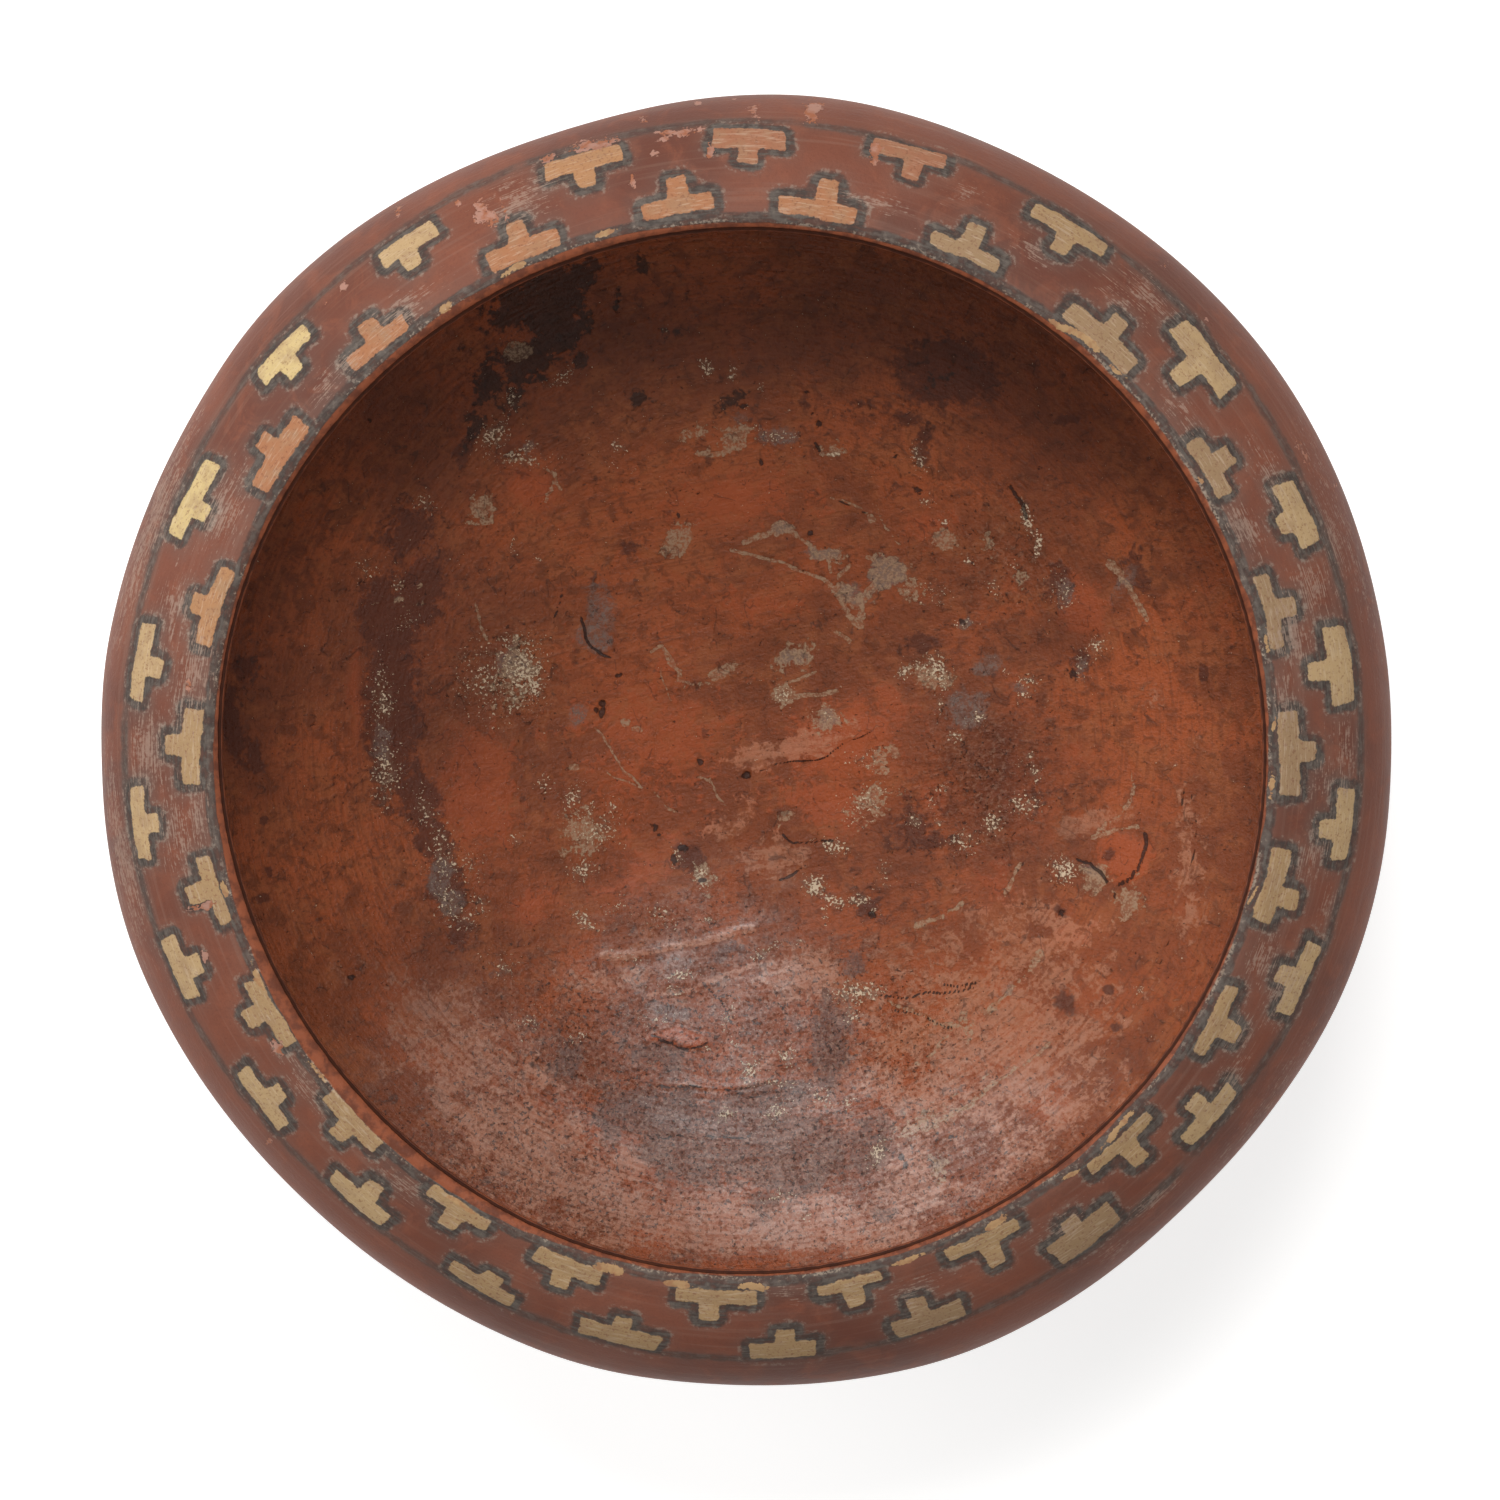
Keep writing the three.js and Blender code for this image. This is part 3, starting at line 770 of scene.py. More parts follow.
@dataclass(frozen=True)
class Figure:
    """One stepped T: degrees round the axis, and radii in millimetres as seen from above."""

    start: float
    end: float
    stem: float
    edge: float
    step: float
    tip: float
    paint: Paint
    lean: float

    def distance(self, angle: Array, radius: Array, run: Callable[[Array], Array]) -> Array:
        """Distance from the figure's outline along the skin, negative inside.

        Args:
            angle: Degrees round the axis.
            radius: Distance from the axis.
            run: Length along the skin to a radius.

        Returns:
            The distance in millimetres.
        """
        edge, step, tip = run(np.array([self.edge, self.step, self.tip]))
        middle = (self.start + self.end) / 2
        across = np.radians((angle - middle + 180.0) % 360.0 - 180.0) * radius
        along = run(radius) - (edge + step) / 2
        turn = math.radians(self.lean)
        across, along = (
            across * math.cos(turn) - along * math.sin(turn),
            across * math.sin(turn) + along * math.cos(turn),
        )
        half = math.radians((self.end - self.start) / 2) * (self.edge + self.step) / 2
        splay = 0.06 * math.copysign(1.0, step - edge)
        bar = self._box(across, along, half, abs(step - edge) / 2, splay)
        sideways = math.radians(self.stem - middle) * self.step
        reach = abs(tip - edge) / 2
        inset = math.copysign(reach, tip - edge) - (step - edge) / 2
        taper = -0.05 * math.copysign(1.0, tip - edge)
        stem = self._box(across - sideways, along - inset, STEM_WIDTH / 2, reach, taper)
        return np.minimum(bar, stem)

    @staticmethod
    def _box(across: Array, along: Array, width: float, reach: float, splay: float) -> Array:
        """Distance from a box with rounded corners, which may widen along its length."""
        side = np.abs(across) - width - splay * along + CORNER_ROUND
        end = np.abs(along) - reach + CORNER_ROUND
        outer = np.hypot(np.maximum(side, 0.0), np.maximum(end, 0.0))
        return outer + np.minimum(np.maximum(side, end), 0.0) - CORNER_ROUND


STEM_WIDTH = 4.2
CORNER_ROUND = 0.5
BRUSH_STRAY = 0.3  # how far a painted outline wanders

# Each group is a paint and the figures that it fills, as start, end, stem, edge, step, tip and lean
GIRTH_ROW = (
    (Paint.CREAM, ((4.5, 12, 8, 117, 112.5, 108.5, 0), (20, 26.5, 23, 117, 112.5, 110, -2),
                   (36.5, 44.5, 40.5, 117.5, 113, 108, 4))),
    (Paint.TAN, ((54, 62, 58, 118.5, 115.5, 112, -3),)),
    (Paint.PINK, ((71, 78, 74, 119.5, 116.5, 113, -3), (86, 93, 89.5, 118.5, 114.5, 111.5, 3))),
    (Paint.AMBER, ((101.5, 109, 105.5, 118, 114.5, 111, -1),)),
    (Paint.CREAM, ((120.5, 126.5, 124, 117.5, 114, 111, 0),)),
    (Paint.STRAW, ((136, 142.5, 139.5, 117.5, 114, 111, 3), (151.5, 159.5, 156, 117.5, 114, 111, 4))),
    (Paint.CREAM, ((168, 175.5, 172, 118, 115, 112, 2), (183.5, 190.5, 187, 118, 115, 112.5, 2),
                   (198, 204.5, 201.5, 118, 114.5, 111.5, -2), (212.5, 219.5, 216.5, 116, 112.5, 109.5, 0),
                   (226, 233, 230, 115.5, 112, 108.5, -2))),
    (Paint.TAN, ((240.5, 247.5, 244.5, 116, 113, 111, 6), (254, 262, 258, 117, 113.5, 111, 3),
                 (270.5, 277, 274, 117.5, 114, 111, 0))),
    (Paint.DUN, ((284.5, 291.5, 287.5, 117, 113, 109.5, -2), (301.5, 309, 305, 116, 111, 108.5, -5))),
    (Paint.CREAM, ((318.5, 325.5, 322, 115, 111.5, 108, 4), (334, 341.5, 337.5, 116.5, 113, 110, 3),
                   (349.5, 356.5, 352.5, 117, 113.5, 110.5, -2))),
)
LIP_ROW = (
    (Paint.DUN, ((11, 19, 15, 102, 105, 108.5, 2), (28, 35, 31.5, 102, 105.5, 109, 0),
                 (44.5, 54, 49, 102, 106, 109.5, 2), (62, 70, 66, 102.5, 105.5, 109.5, 0))),
    (Paint.ORANGE, ((78, 86.5, 81.5, 102, 105.5, 110, 2), (93, 100.5, 96.5, 102.5, 106, 110, -4),
                    (109.5, 117.5, 113.5, 102, 106, 110, 2), (128, 135.5, 131.5, 102.5, 106, 109, 3),
                    (143, 151.5, 147, 102.5, 106.5, 109.5, 0))),
    (Paint.AMBER, ((160.5, 169, 165, 102.5, 106, 109, 5),)),
    (Paint.TAN, ((175.5, 183.5, 179.5, 103, 107, 110.5, 3), (191, 198.5, 194.5, 103, 106, 110, -5),
                 (205, 213, 208.5, 101.5, 105, 108.5, -2), (219.5, 227.5, 223.5, 101, 104.5, 108, 0),
                 (234.5, 242, 238, 101.5, 104.5, 108, 2), (247.5, 255, 251, 102.5, 106, 109, 2),
                 (263, 271.5, 266.5, 103, 106, 109.5, 0), (278, 285, 281.5, 102.5, 105, 108.5, -3),
                 (292, 300.5, 296.5, 102.5, 105.5, 110, 1), (309.5, 318.5, 314.5, 102.5, 105, 109.5, 3),
                 (326.5, 334.5, 330, 102, 105, 109, -3), (342, 350, 345, 102, 106, 109.5, 2))),
    (Paint.DUN, ((355.5, 364.5, 360, 102, 106, 109, -2),)),
)

# Radius of the charcoal line outside the frieze, and width of the bare lip inside it
OUTER_LINE: Readings = (
    (0, 117.8), (30, 118.3), (60, 119.1), (90, 120.0), (120, 118.9), (140, 118.7), (180, 118.9),
    (205, 118.2), (230, 115.7), (260, 117.4), (290, 117.1), (320, 115.8), (350, 117.8),
)
BARE_LIP: Readings = (
    (0, 1.7), (30, 1.8), (60, 1.9), (90, 2.0), (120, 2.4), (160, 2.3), (190, 2.4), (210, 3.0),
    (235, 2.7), (260, 2.0), (290, 2.0), (330, 1.5), (350, 1.6),
)

SHOULDER_MARKS = MarkedSurface({
    # pale streaks where the slip is rubbed
    "haze": rings(
        (12, 106, 16, 8, 0.8), (0, 114, 12, 6, 0.7), (24, 104, 12, 5, 0.8), (350, 110, 12, 7, 0.7),
        (336, 112, 14, 8, 0.7), (304, 110, 12, 6, 0.6), (16, 113, 12, 9, 0.8), (28, 113, 14, 6, 0.7),
        (20, 119.5, 20, 3, 0.7), (38, 105, 14, 5, 0.65), (48, 116, 12, 5, 0.75), (50, 112, 14, 5, 0.65),
        (5, 104, 16, 5, 0.7), (60, 110, 10, 4, 0.6), (76, 107, 12, 4, 0.7), (68, 114, 8, 4, 0.6),
        (112, 113.5, 14, 7, 0.75), (128, 106, 16, 6, 0.7), (137, 105, 14, 5, 0.75), (155, 109, 16, 10, 0.8),
        (166, 112, 14, 8, 0.75), (172, 106, 20, 8, 0.8), (180, 114, 18, 8, 0.8), (188, 109, 20, 7, 0.7),
        (187, 104.5, 14, 5, 0.75), (217, 105, 14, 5, 0.7), (232, 105, 14, 4, 0.7), (275, 104, 10, 4, 0.6),
        (288, 108, 12, 4, 0.6), (312, 117, 12, 3, 0.8), (326, 113, 12, 5, 0.7), (330, 109, 12, 6, 0.65),
        (338, 106, 14, 5, 0.75), (345, 116, 12, 4, 0.65), (306, 120, 10, 5, 0.6), (357, 112, 10, 12, 0.6),
        (160, 121.5, 50, 6, 0.8), (190, 121.5, 40, 6, 0.8), (20, 122, 60, 5, 0.55),
        (325, 121.5, 50, 5, 0.5),
    ),
    # small scars of pinkish clay
    "chip": rings(
        (84, 122.5, 4, 5), (89, 121.5, 3, 4, 0.9), (96, 118.7, 9, 2.2), (104, 119, 9, 2.6, 1.05),
        (108.5, 118.4, 3.5, 3, 0.9), (97.5, 117.5, 3, 1.6, 0.9), (98.5, 114.8, 1.6, 2.2),
        (101, 110.5, 1.8, 3.2), (113.8, 112.5, 2, 6, 0.9), (115.8, 113.2, 4, 4.4, 1.1),
        (117.5, 117, 1.4, 2), (130.5, 116.6, 2.4, 2.4, 0.9), (133, 116.8, 3, 1.4, 0.9), (77.5, 116, 2.4, 6),
        (93.3, 114, 2, 4, 0.9), (201, 110.8, 1.8, 1.8), (24, 124, 3, 2, 0.8), (49, 122.5, 2, 4, 0.8),
        (43, 120, 1.4, 2, 0.9), (28, 120.8, 8, 2.6, 0.7), (99, 122, 2, 1.4, 0.9),
        (123, 122.3, 2.4, 1.8, 0.9), (117, 122, 1.6, 1.4, 0.8), (173.5, 106, 2.6, 2.6, 0.8),
        (219.5, 118.5, 1.6, 2.4, 0.8), (191.8, 122, 1.6, 2.4, 0.7), (212, 106, 6, 4, 0.8),
        (196, 107.5, 1.4, 8, 0.9), (91, 124, 2, 2, 0.9), (94.5, 123.5, 2, 1.6, 0.8),
    ),
    # dabs of cream slip on the lip's outer edge
    "dab": rings(
        (3, 101.6, 5, 1.3), (12, 101.3, 7, 1.2), (31, 101, 5, 1), (45.5, 101.6, 6, 1.2, 1.1),
        (50.5, 101.4, 11.2, 1.8, 1.2), (53.5, 101, 6.25, 1.5, 1.1), (104.5, 101.4, 5.75, 1.5, 1.1),
        (115, 101.4, 7.5, 1.5, 1.1), (124, 101.2, 4.25, 2.5, 1.1), (195, 102.2, 4, 1.5, 1.2),
        (205, 102, 7.5, 1.5, 1.1), (217, 101.8, 7.5, 1.5), (238, 102.2, 7.5, 1.6, 1.1),
        (255.5, 102.6, 8, 1.9, 1.2), (263.2, 102.6, 6.75, 1.8, 1.2), (271, 102.4, 7.5, 1.5, 1.2),
        (288.3, 102, 7, 1.5, 1.2), (298.5, 101.8, 7, 1.5, 1.2), (307.5, 101.5, 6, 1.2, 1.1),
        (315, 101.5, 12, 1.5, 1.1), (344.5, 101, 9, 1.2), (357, 101.2, 9, 1.4),
    ),
})


class Frieze:
    """Two rows of stepped figures on the shoulder, the charcoal lines round them and the bare lip."""

    def __init__(self, outline: Sequence[Point], mouth_radius: float) -> None:
        """Places the figures on a skin.

        Args:
            outline: Section of the skin from the girth to the mouth's edge.
            mouth_radius: Radius of the mouth.
        """
        radii, heights = np.array(outline).T
        lengths = np.concatenate(([0.0], np.cumsum(np.hypot(np.diff(radii), np.diff(heights)))))
        self._radii = radii[::-1]
        self._lengths = lengths[::-1]
        self._mouth_radius = mouth_radius
        self.figures = [
            Figure(*sizes[:6], paint, sizes[6])
            for row in (GIRTH_ROW, LIP_ROW)
            for paint, group in row
            for sizes in group
        ]

    def run(self, radius: Array) -> Array:
        """Length along the skin from the girth to a radius."""
        return np.interp(radius, self._radii, self._lengths)

    def write(self, mesh: bpy.types.Mesh, points: Array, true_radius: Array) -> None:
        """Stores on a mesh how far each point is from the figures, the lines and the bare lip.

        Args:
            mesh: The mesh.
            points: Its points, in millimetres.
            true_radius: Their distances from the axis before handwork moved them.
        """
        brushed = points + BRUSH_STRAY * wander(points)
        angle = np.arctan2(brushed[:, 1], brushed[:, 0])
        radius = np.hypot(brushed[:, 0], brushed[:, 1])
        degrees = np.degrees(angle)
        nearest = np.full_like(radius, np.inf)
        colours = np.ones((len(radius), 4))
        for figure in self.figures:
            distance = figure.distance(degrees, radius, self.run)
            closer = distance < nearest
            nearest[closer] = distance[closer]
            colours[closer] = figure.paint.value
        run = self.run(radius)
        line = self.run(read_round(OUTER_LINE, angle, 8.0))
        bare = self._mouth_radius + read_round(BARE_LIP, angle, 8.0)
        write_numbers(mesh, "figure", nearest)
        write_numbers(mesh, "line", run - line)
        write_numbers(mesh, "bare", bare - radius)
        write_numbers(mesh, "rim", true_radius - self._mouth_radius)
        write_colours(mesh, "fill", colours)
        SHOULDER_MARKS.write(mesh, points)


# Finishes


@dataclass(frozen=True)
class RedSlip:
    """Burnished dark red slip, rubbed pale in streaks."""

    name: str = "burnished_slip"
    body: Colour = srgb(118, 70, 54)
    deep: Colour = srgb(99, 59, 47)
    warm: Colour = srgb(130, 77, 58)
    rubbed: Colour = srgb(164, 140, 124)
    clay: Colour = srgb(156, 96, 68)
    smoked: Colour = srgb(84, 60, 52)
    worn_height: float = 0.4  # height below which the foot is worn to the clay, in millimetres

    def ground(self, graph: Graph, rise: float) -> tuple[Value, Value, Value]:
        """The slip itself.

        Args:
            graph: Where its nodes go.
            rise: 1 where the wall widens upwards and -1 where it closes.

        Returns:
            Its colour, its roughness and its relief.
        """
        broad = graph.noise(38, 3, 0.0, 0.0, 0.55)
        mottle = graph.noise(7, 4, 0.31, 0.6, 0.62)
        grain = graph.noise(0.5, 2, 0.0, 0.0, 0.6)
        strokes = graph.streaks(0.22, 1.1, rise)
        colour = graph.layers(
            self.body,
            (broad, 0.38, 0.64, 1.0, self.deep),
            (mottle, 0.46, 0.68, 0.6, self.warm),
            (grain, 0.5, 0.7, 0.35, self.deep),
            (strokes, 0.5, 0.72, 0.1, self.rubbed),
        )
        rough = 0.42 + 0.2 * mottle + 0.1 * strokes
        relief = 0.16 * mottle + 0.04 * strokes + 0.03 * grain
        return colour, rough, relief

    def abraded(self, graph: Graph, colour: Value, amount: Value, rise: float) -> Value:
        """Rubs a colour pale.

        Args:
            graph: Where its nodes go.
            colour: The colour under the wear.
            amount: How worn it is, from 0 to 1.
            rise: 1 where the wall widens upwards and -1 where it closes.

        Returns:
            The worn colour.
        """
        hairs = graph.streaks(0.03, 0.35, rise)
        crumbs = graph.noise(0.8, 3, 0.17, 0.0, 0.6)
        worn = amount * 0.42 + hairs * 0.8 + crumbs * 0.5
        return graph.mix(graph.step(worn, 0.86, 1.0) * 0.5, colour, self.rubbed)

    def material(self) -> bpy.types.Material:
        """The slip as it lies on the bowl's underside and the pedestal."""
        made = bpy.data.materials.new(self.name)
        graph = Graph(made)
        colour, rough, relief = self.ground(graph, 1.0)
        clouds = graph.noise(60, 3, 0.53)
        colour = graph.mix(graph.step(clouds, 0.56, 0.75) * 0.6, colour, self.smoked)
        colour = self.abraded(graph, colour, graph.step(graph.noise(16, 4, 0.71), 0.48, 0.72) * 0.7, 1.0)
        chips = graph.specks(5.0, 0.24, 0.16, graph.noise(1.3, 3) * 0.5 - 0.25)
        low = graph.height() * (1.0 / MM) + graph.noise(2.5, 4) * 2.4
        foot = graph.step(low, self.worn_height + 2.2, self.worn_height + 1.2)
        bare = graph.largest(chips, foot)
        colour = graph.mix(bare * 0.85, colour, self.clay)
        graph.shade(relief - 0.06 * bare, {
            "Base Color": colour,
            "Roughness": rough + 0.2 * bare,
            "Specular IOR Level": 0.2,
        })
        return made


@dataclass(frozen=True)
class PaintedSlip(RedSlip):
    """Red slip under the frieze's figures and charcoal lines, with the bare lip inside them."""

    name: str = "painted_slip"
    charcoal: Colour = srgb(55, 50, 47)
    graphite: Colour = srgb(98, 90, 83)
    bloom: Colour = srgb(152, 138, 124)
    chipped: Colour = srgb(170, 128, 112)
    dabbed: Colour = srgb(178, 142, 100)
    worn_fill: Colour = srgb(152, 122, 94)
    lip: Colour = srgb(134, 74, 49)
    lip_dark: Colour = srgb(98, 54, 38)
    # dark of a groove and of painted shade under the lip's inner edge
    crease_and_shade: Colour = srgb(46, 26, 20)
    lime: Colour = srgb(214, 194, 170)

    def material(self) -> bpy.types.Material:
        """The painted shoulder."""
        made = bpy.data.materials.new(self.name)
        graph = Graph(made)
        colour, rough, relief = self.ground(graph, -1.0)

        ragged = graph.noise(2.4, 4, 0.23, 0.0, 0.6) - 0.5
        nibble = graph.noise(0.6, 2, 0.41) - 0.5
        soft = graph.noise(2.4, 3, 0.83, 0.3, 0.58)
        wobble = ragged * 1.3 + nibble * 0.5
        edge = graph.reading("figure") + 0.12 + wobble
        outside = graph.reading("line") + wobble * 0.8
        width = graph.noise(8, 3, 0.67) * 1.8 - 0.4
        fill = graph.step(edge, 0.14, -0.14)
        brush = graph.step(edge - width, 1.75, 0.75) * graph.step(outside, -0.9, -0.2)
        line = graph.step(abs(outside) - width * 0.6, 1.3, 0.15)
        line = line * graph.step(graph.noise(11, 3, 0.05), 0.26, 0.44)
        bare_edge = graph.reading("bare") - 0.35 + wobble * 0.2
        band = graph.step(bare_edge + soft * 0.8, -1.9, -1.3)
        haze = graph.reading("haze")
        smear = graph.streaks(0.05, 0.7, -1.0)
        charcoal = graph.largest(brush, line * (0.7 + 0.25 * haze), band * 0.9)
        patchy = 0.5 * soft + 0.5 * smear
        charcoal = charcoal * (0.62 + 0.34 * graph.step(patchy + 0.3 * ragged, 0.38, 0.54))
        pencil = graph.mix(graph.step(patchy, 0.44, 0.62) * 0.75, self.charcoal, self.graphite)
        near = graph.largest(0.0 - edge, 0.0 - abs(outside) * 1.6, bare_edge + 1.0)
        halo = graph.step(near + ragged * 2.0, -5.4, -1.2)
        colour = graph.mix(halo * (0.15 + 0.42 * haze), colour, self.graphite)
        colour = graph.mix(charcoal, colour, pencil)

        rim = graph.step(abs(edge - width - 1.5), 0.75, 0.15)
        crumbs = graph.step(graph.noise(1.1, 3, 0.37, 0.0, 0.65), 0.48, 0.66)
        rubbed = graph.largest(rim * 0.8, band * 0.26, charcoal * 0.3)
        colour = graph.mix(rubbed * crumbs * (0.5 + 0.35 * haze), colour, self.bloom)

        specks = graph.step(graph.noise(0.6, 3, 0.59, 0.0, 0.6), 0.54, 0.66)
        scuffs = graph.streaks(0.03, 0.5, -1.0)
        faded = graph.step(graph.noise(4, 4, 0.97, 0.0, 0.6), 0.42, 0.68)
        inlay = graph.mix(faded * 0.5, graph.tint("fill"), self.worn_fill)
        inlay = graph.mix(specks * 0.5, inlay, self.body)
        inlay = graph.mix(graph.step(scuffs, 0.52, 0.68) * 0.24, inlay, self.lime)
        colour = graph.mix(fill * 0.96, colour, inlay)
        colour = self.abraded(graph, colour, haze, -1.0)

        chip = graph.step(graph.reading("chip") + ragged * 1.4 + nibble * 0.7, 0.58, 0.66)
        chipped = graph.mix(graph.step(soft, 0.4, 0.62), self.chipped, self.clay)
        colour = graph.mix(chip * 0.85, colour, chipped)

        bare = graph.step(bare_edge, -0.12, 0.12)
        lip = graph.mix(graph.step(graph.noise(2.4, 4, 0.19, 0.0, 0.6), 0.4, 0.62), self.lip, self.lip_dark)
        colour = graph.mix(bare, colour, lip)
        # painted shade with a real groove: a dark line round the lip's inner edge, where it turns under and
        # the overhang lies in shade
        crease_and_shade = graph.step(abs(graph.reading("rim") - 0.42 + ragged * 0.3), 0.34, 0.16)
        colour = graph.mix(crease_and_shade * 0.85, colour, self.crease_and_shade)
        dab = graph.step(graph.reading("dab") + ragged * 0.9 + nibble * 0.5, 0.66, 0.74)
        dabbed = graph.mix(graph.step(soft, 0.42, 0.64) * 0.5, self.dabbed, self.lip)
        colour = graph.mix(dab * 0.8, colour, dabbed)
        # pale line along the lip's outer edge: lime specks, and painted highlight where the rounded edge
        # catches the light
        seam = graph.step(abs(bare_edge + 0.25), 0.6, 0.1)
        lime = seam * graph.step(nibble + (graph.noise(9, 3, 0.29) - 0.5) * 0.9, 0.08, 0.2)
        colour = graph.mix(lime * (0.25 + 0.35 * haze), colour, self.lime)

        dull = graph.largest(fill, charcoal, chip)
        raised = 0.07 * graph.step(graph.reading("figure") + nibble, 0.3, -0.3) - 0.06 * bare
        raised = raised - 0.12 * chip - 0.3 * crease_and_shade
        graph.shade(relief + raised + 0.07 * nibble, {
            "Base Color": colour,
            "Roughness": rough + 0.1 * dull - 0.16 * bare,
            "Specular IOR Level": 0.13,
        })
        return made


@dataclass(frozen=True)
class WornLining:
    """The bowl's inside: red-brown slip, sooted, scratched, crusted and flaked, with painted shade and
    highlight.
    """

    name: str = "worn_slip"
    red: Colour = srgb(147, 75, 42)
    brown: Colour = srgb(117, 61, 36)
    tan: Colour = srgb(144, 82, 49)
    deep: Colour = srgb(88, 46, 26)
    soot: Colour = srgb(40, 26, 20)
    umber: Colour = srgb(76, 39, 27)
    stain: Colour = srgb(100, 74, 66)
    salt: Colour = srgb(206, 184, 156)
    crust: Colour = srgb(116, 90, 72)
    scrape: Colour = srgb(154, 126, 100)
    ash: Colour = srgb(108, 92, 84)
    fresh: Colour = srgb(158, 77, 43)
    # pale pink of rubbed slip, also used as painted highlight on the lower wall
    rubbed: Colour = srgb(176, 120, 92)
    grit: Colour = srgb(176, 140, 116)
    crack: Colour = srgb(36, 22, 18)

    def material(self) -> bpy.types.Material:
        """The lining."""
        made = bpy.data.materials.new(self.name)
        graph = Graph(made)
        broad = graph.noise(30, 3, 0.13, 0.4, 0.55)
        mottle = graph.noise(8, 5, 0.0, 0.8, 0.62)
        cloud = graph.noise(3.2, 4, 0.29, 0.5, 0.62)
        fine = graph.noise(1.0, 3, 0.47, 0.0, 0.62)
        grain = graph.noise(0.45, 2, 0.0, 0.0, 0.6)
        rings = graph.step(graph.radius(), 0.045, 0.075)
        strokes = graph.streaks(0.12, 1.0) * rings + graph.swipes(14, 1.2, 12) * (1.0 - rings)
        rag = 0.8 * mottle + 0.9 * cloud + 0.7 * fine - 1.2

        def worn(kind: str, low: float, high: float, ragged: float = 1.0) -> Value:
            """Ragged cover of one kind of mark."""
            return graph.step(graph.reading(kind) + rag * ragged, low, high)

        colour = graph.layers(
            self.red,
            (broad, 0.4, 0.62, 1.0, self.brown),
            (mottle, 0.46, 0.62, 0.6, self.tan),
            (cloud, 0.48, 0.64, 0.6, self.deep),
            (strokes, 0.5, 0.64, 0.6, self.brown),
            (fine, 0.52, 0.66, 0.44, self.deep),
        )
        colour = graph.mix(worn("fresh", 0.36, 0.62) * 0.75, colour, self.fresh)
        # rubbed pale slip, partly painted highlight on the lower wall
        rubbed = worn("rubbed", 0.42, 0.62)
        smears = graph.step(strokes + fine, 0.88, 1.06)
        colour = graph.mix(rubbed * (0.2 + 0.36 * smears), colour, self.rubbed)
        # painted shade with some brown staining, darkening the upper and left walls and parts of the right
        # one
        stain_and_shade = graph.step(graph.reading("stain_and_shade") + rag * 0.4, 0.12, 0.72)
        colour = graph.mix(stain_and_shade * 0.62, colour, self.umber)
        colour = graph.mix(worn("umber", 0.4, 0.6, 0.7) * 0.8, colour, self.umber)
        stain = worn("stain", 0.42, 0.58, 0.7)
        colour = graph.mix(stain * (0.45 + 0.4 * graph.step(grain, 0.62, 0.4)), colour, self.stain)
        ash = worn("ash", 0.4, 0.6, 0.9) * (0.3 + 0.7 * graph.step(fine + grain * 0.6, 0.9, 0.68))
        colour = graph.mix(ash * 0.8, colour, self.ash)
        colour = graph.mix(worn("soot", 0.46, 0.62, 0.9) * 0.8, colour, self.soot)

        pitted = graph.step(graph.reading("pitted") + rag * 0.4, 0.0, 0.8)
        light, dark = graph.noise(0.8, 2, 0.61, 0.0, 0.65), graph.noise(0.9, 3, 0.07, 0.0, 0.65)
        colour = graph.mix(graph.step(light, 0.52, 0.64) * pitted * 0.24, colour, self.grit)
        stipple = graph.step(dark, 0.54, 0.64)
        colour = graph.mix(stipple * (0.06 + pitted * 0.36), colour, self.deep)
        sparkle = graph.step(grain + light + 0.4 * mottle, 1.1, 1.4)
        salt = graph.reading("salt") + rag * 0.5
        film = graph.step(salt, 0.4, 0.9)
        colour = graph.mix(film * (0.15 + 0.5 * graph.step(fine, 0.42, 0.6)), colour, self.crust)
        scrape = worn("scrape", 0.44, 0.54, 1.1)
        colour = graph.mix(scrape * (0.2 + 0.6 * graph.step(grain + fine, 0.9, 1.12)), colour, self.scrape)
        flecks = graph.noise(0.55, 2, 0.37, 0.0, 0.62)
        crumbs = graph.step(flecks + salt * 0.26, 0.74, 0.78)
        colour = graph.mix(crumbs * 0.9, colour, self.salt)
        pits = graph.step(graph.noise(0.9, 2, 0.53, 0.0, 0.6) + pitted * 0.08, 0.69, 0.73)
        crazing = graph.hairs(9, 0.011, 0.19) * graph.step(cloud, 0.5, 0.56)
        crack = graph.step(graph.reading("crack") + (fine - 0.5) * 1.1 + (cloud - 0.5) * 0.5, 0.42, 0.6)
        colour = graph.mix(graph.largest(pits * 0.8, crack, crazing * 0.5) * 0.85, colour, self.crack)

        rough = 0.1 + 0.26 * mottle + 0.14 * fine + 0.14 * film
        relief = 0.36 * mottle + 0.3 * cloud + 0.3 * fine + 0.15 * grain + 0.2 * strokes
        relief = relief + 0.12 * crumbs - 0.16 * crack - 0.12 * pits - 0.1 * scrape - 0.12 * stipple * pitted
        gloss = graph.step(graph.reading("gloss") + rag * 0.3, 0.1, 0.9) * (1.0 - 0.5 * stain)
        polish = graph.step(strokes + 0.6 * cloud, 0.66, 0.94)
        shine = 0.24 + 0.3 * sparkle + 0.35 * polish + 0.15 * rubbed
        shine = shine + 0.15 * graph.step(mottle, 0.44, 0.58)
        graph.shade(relief, {
            "Base Color": colour,
            "Roughness": rough,
            "Specular IOR Level": 0.1,
            "Coat Weight": gloss * shine * (1.0 - 0.6 * stipple),
            "Coat Roughness": 0.3,
        })
        return made


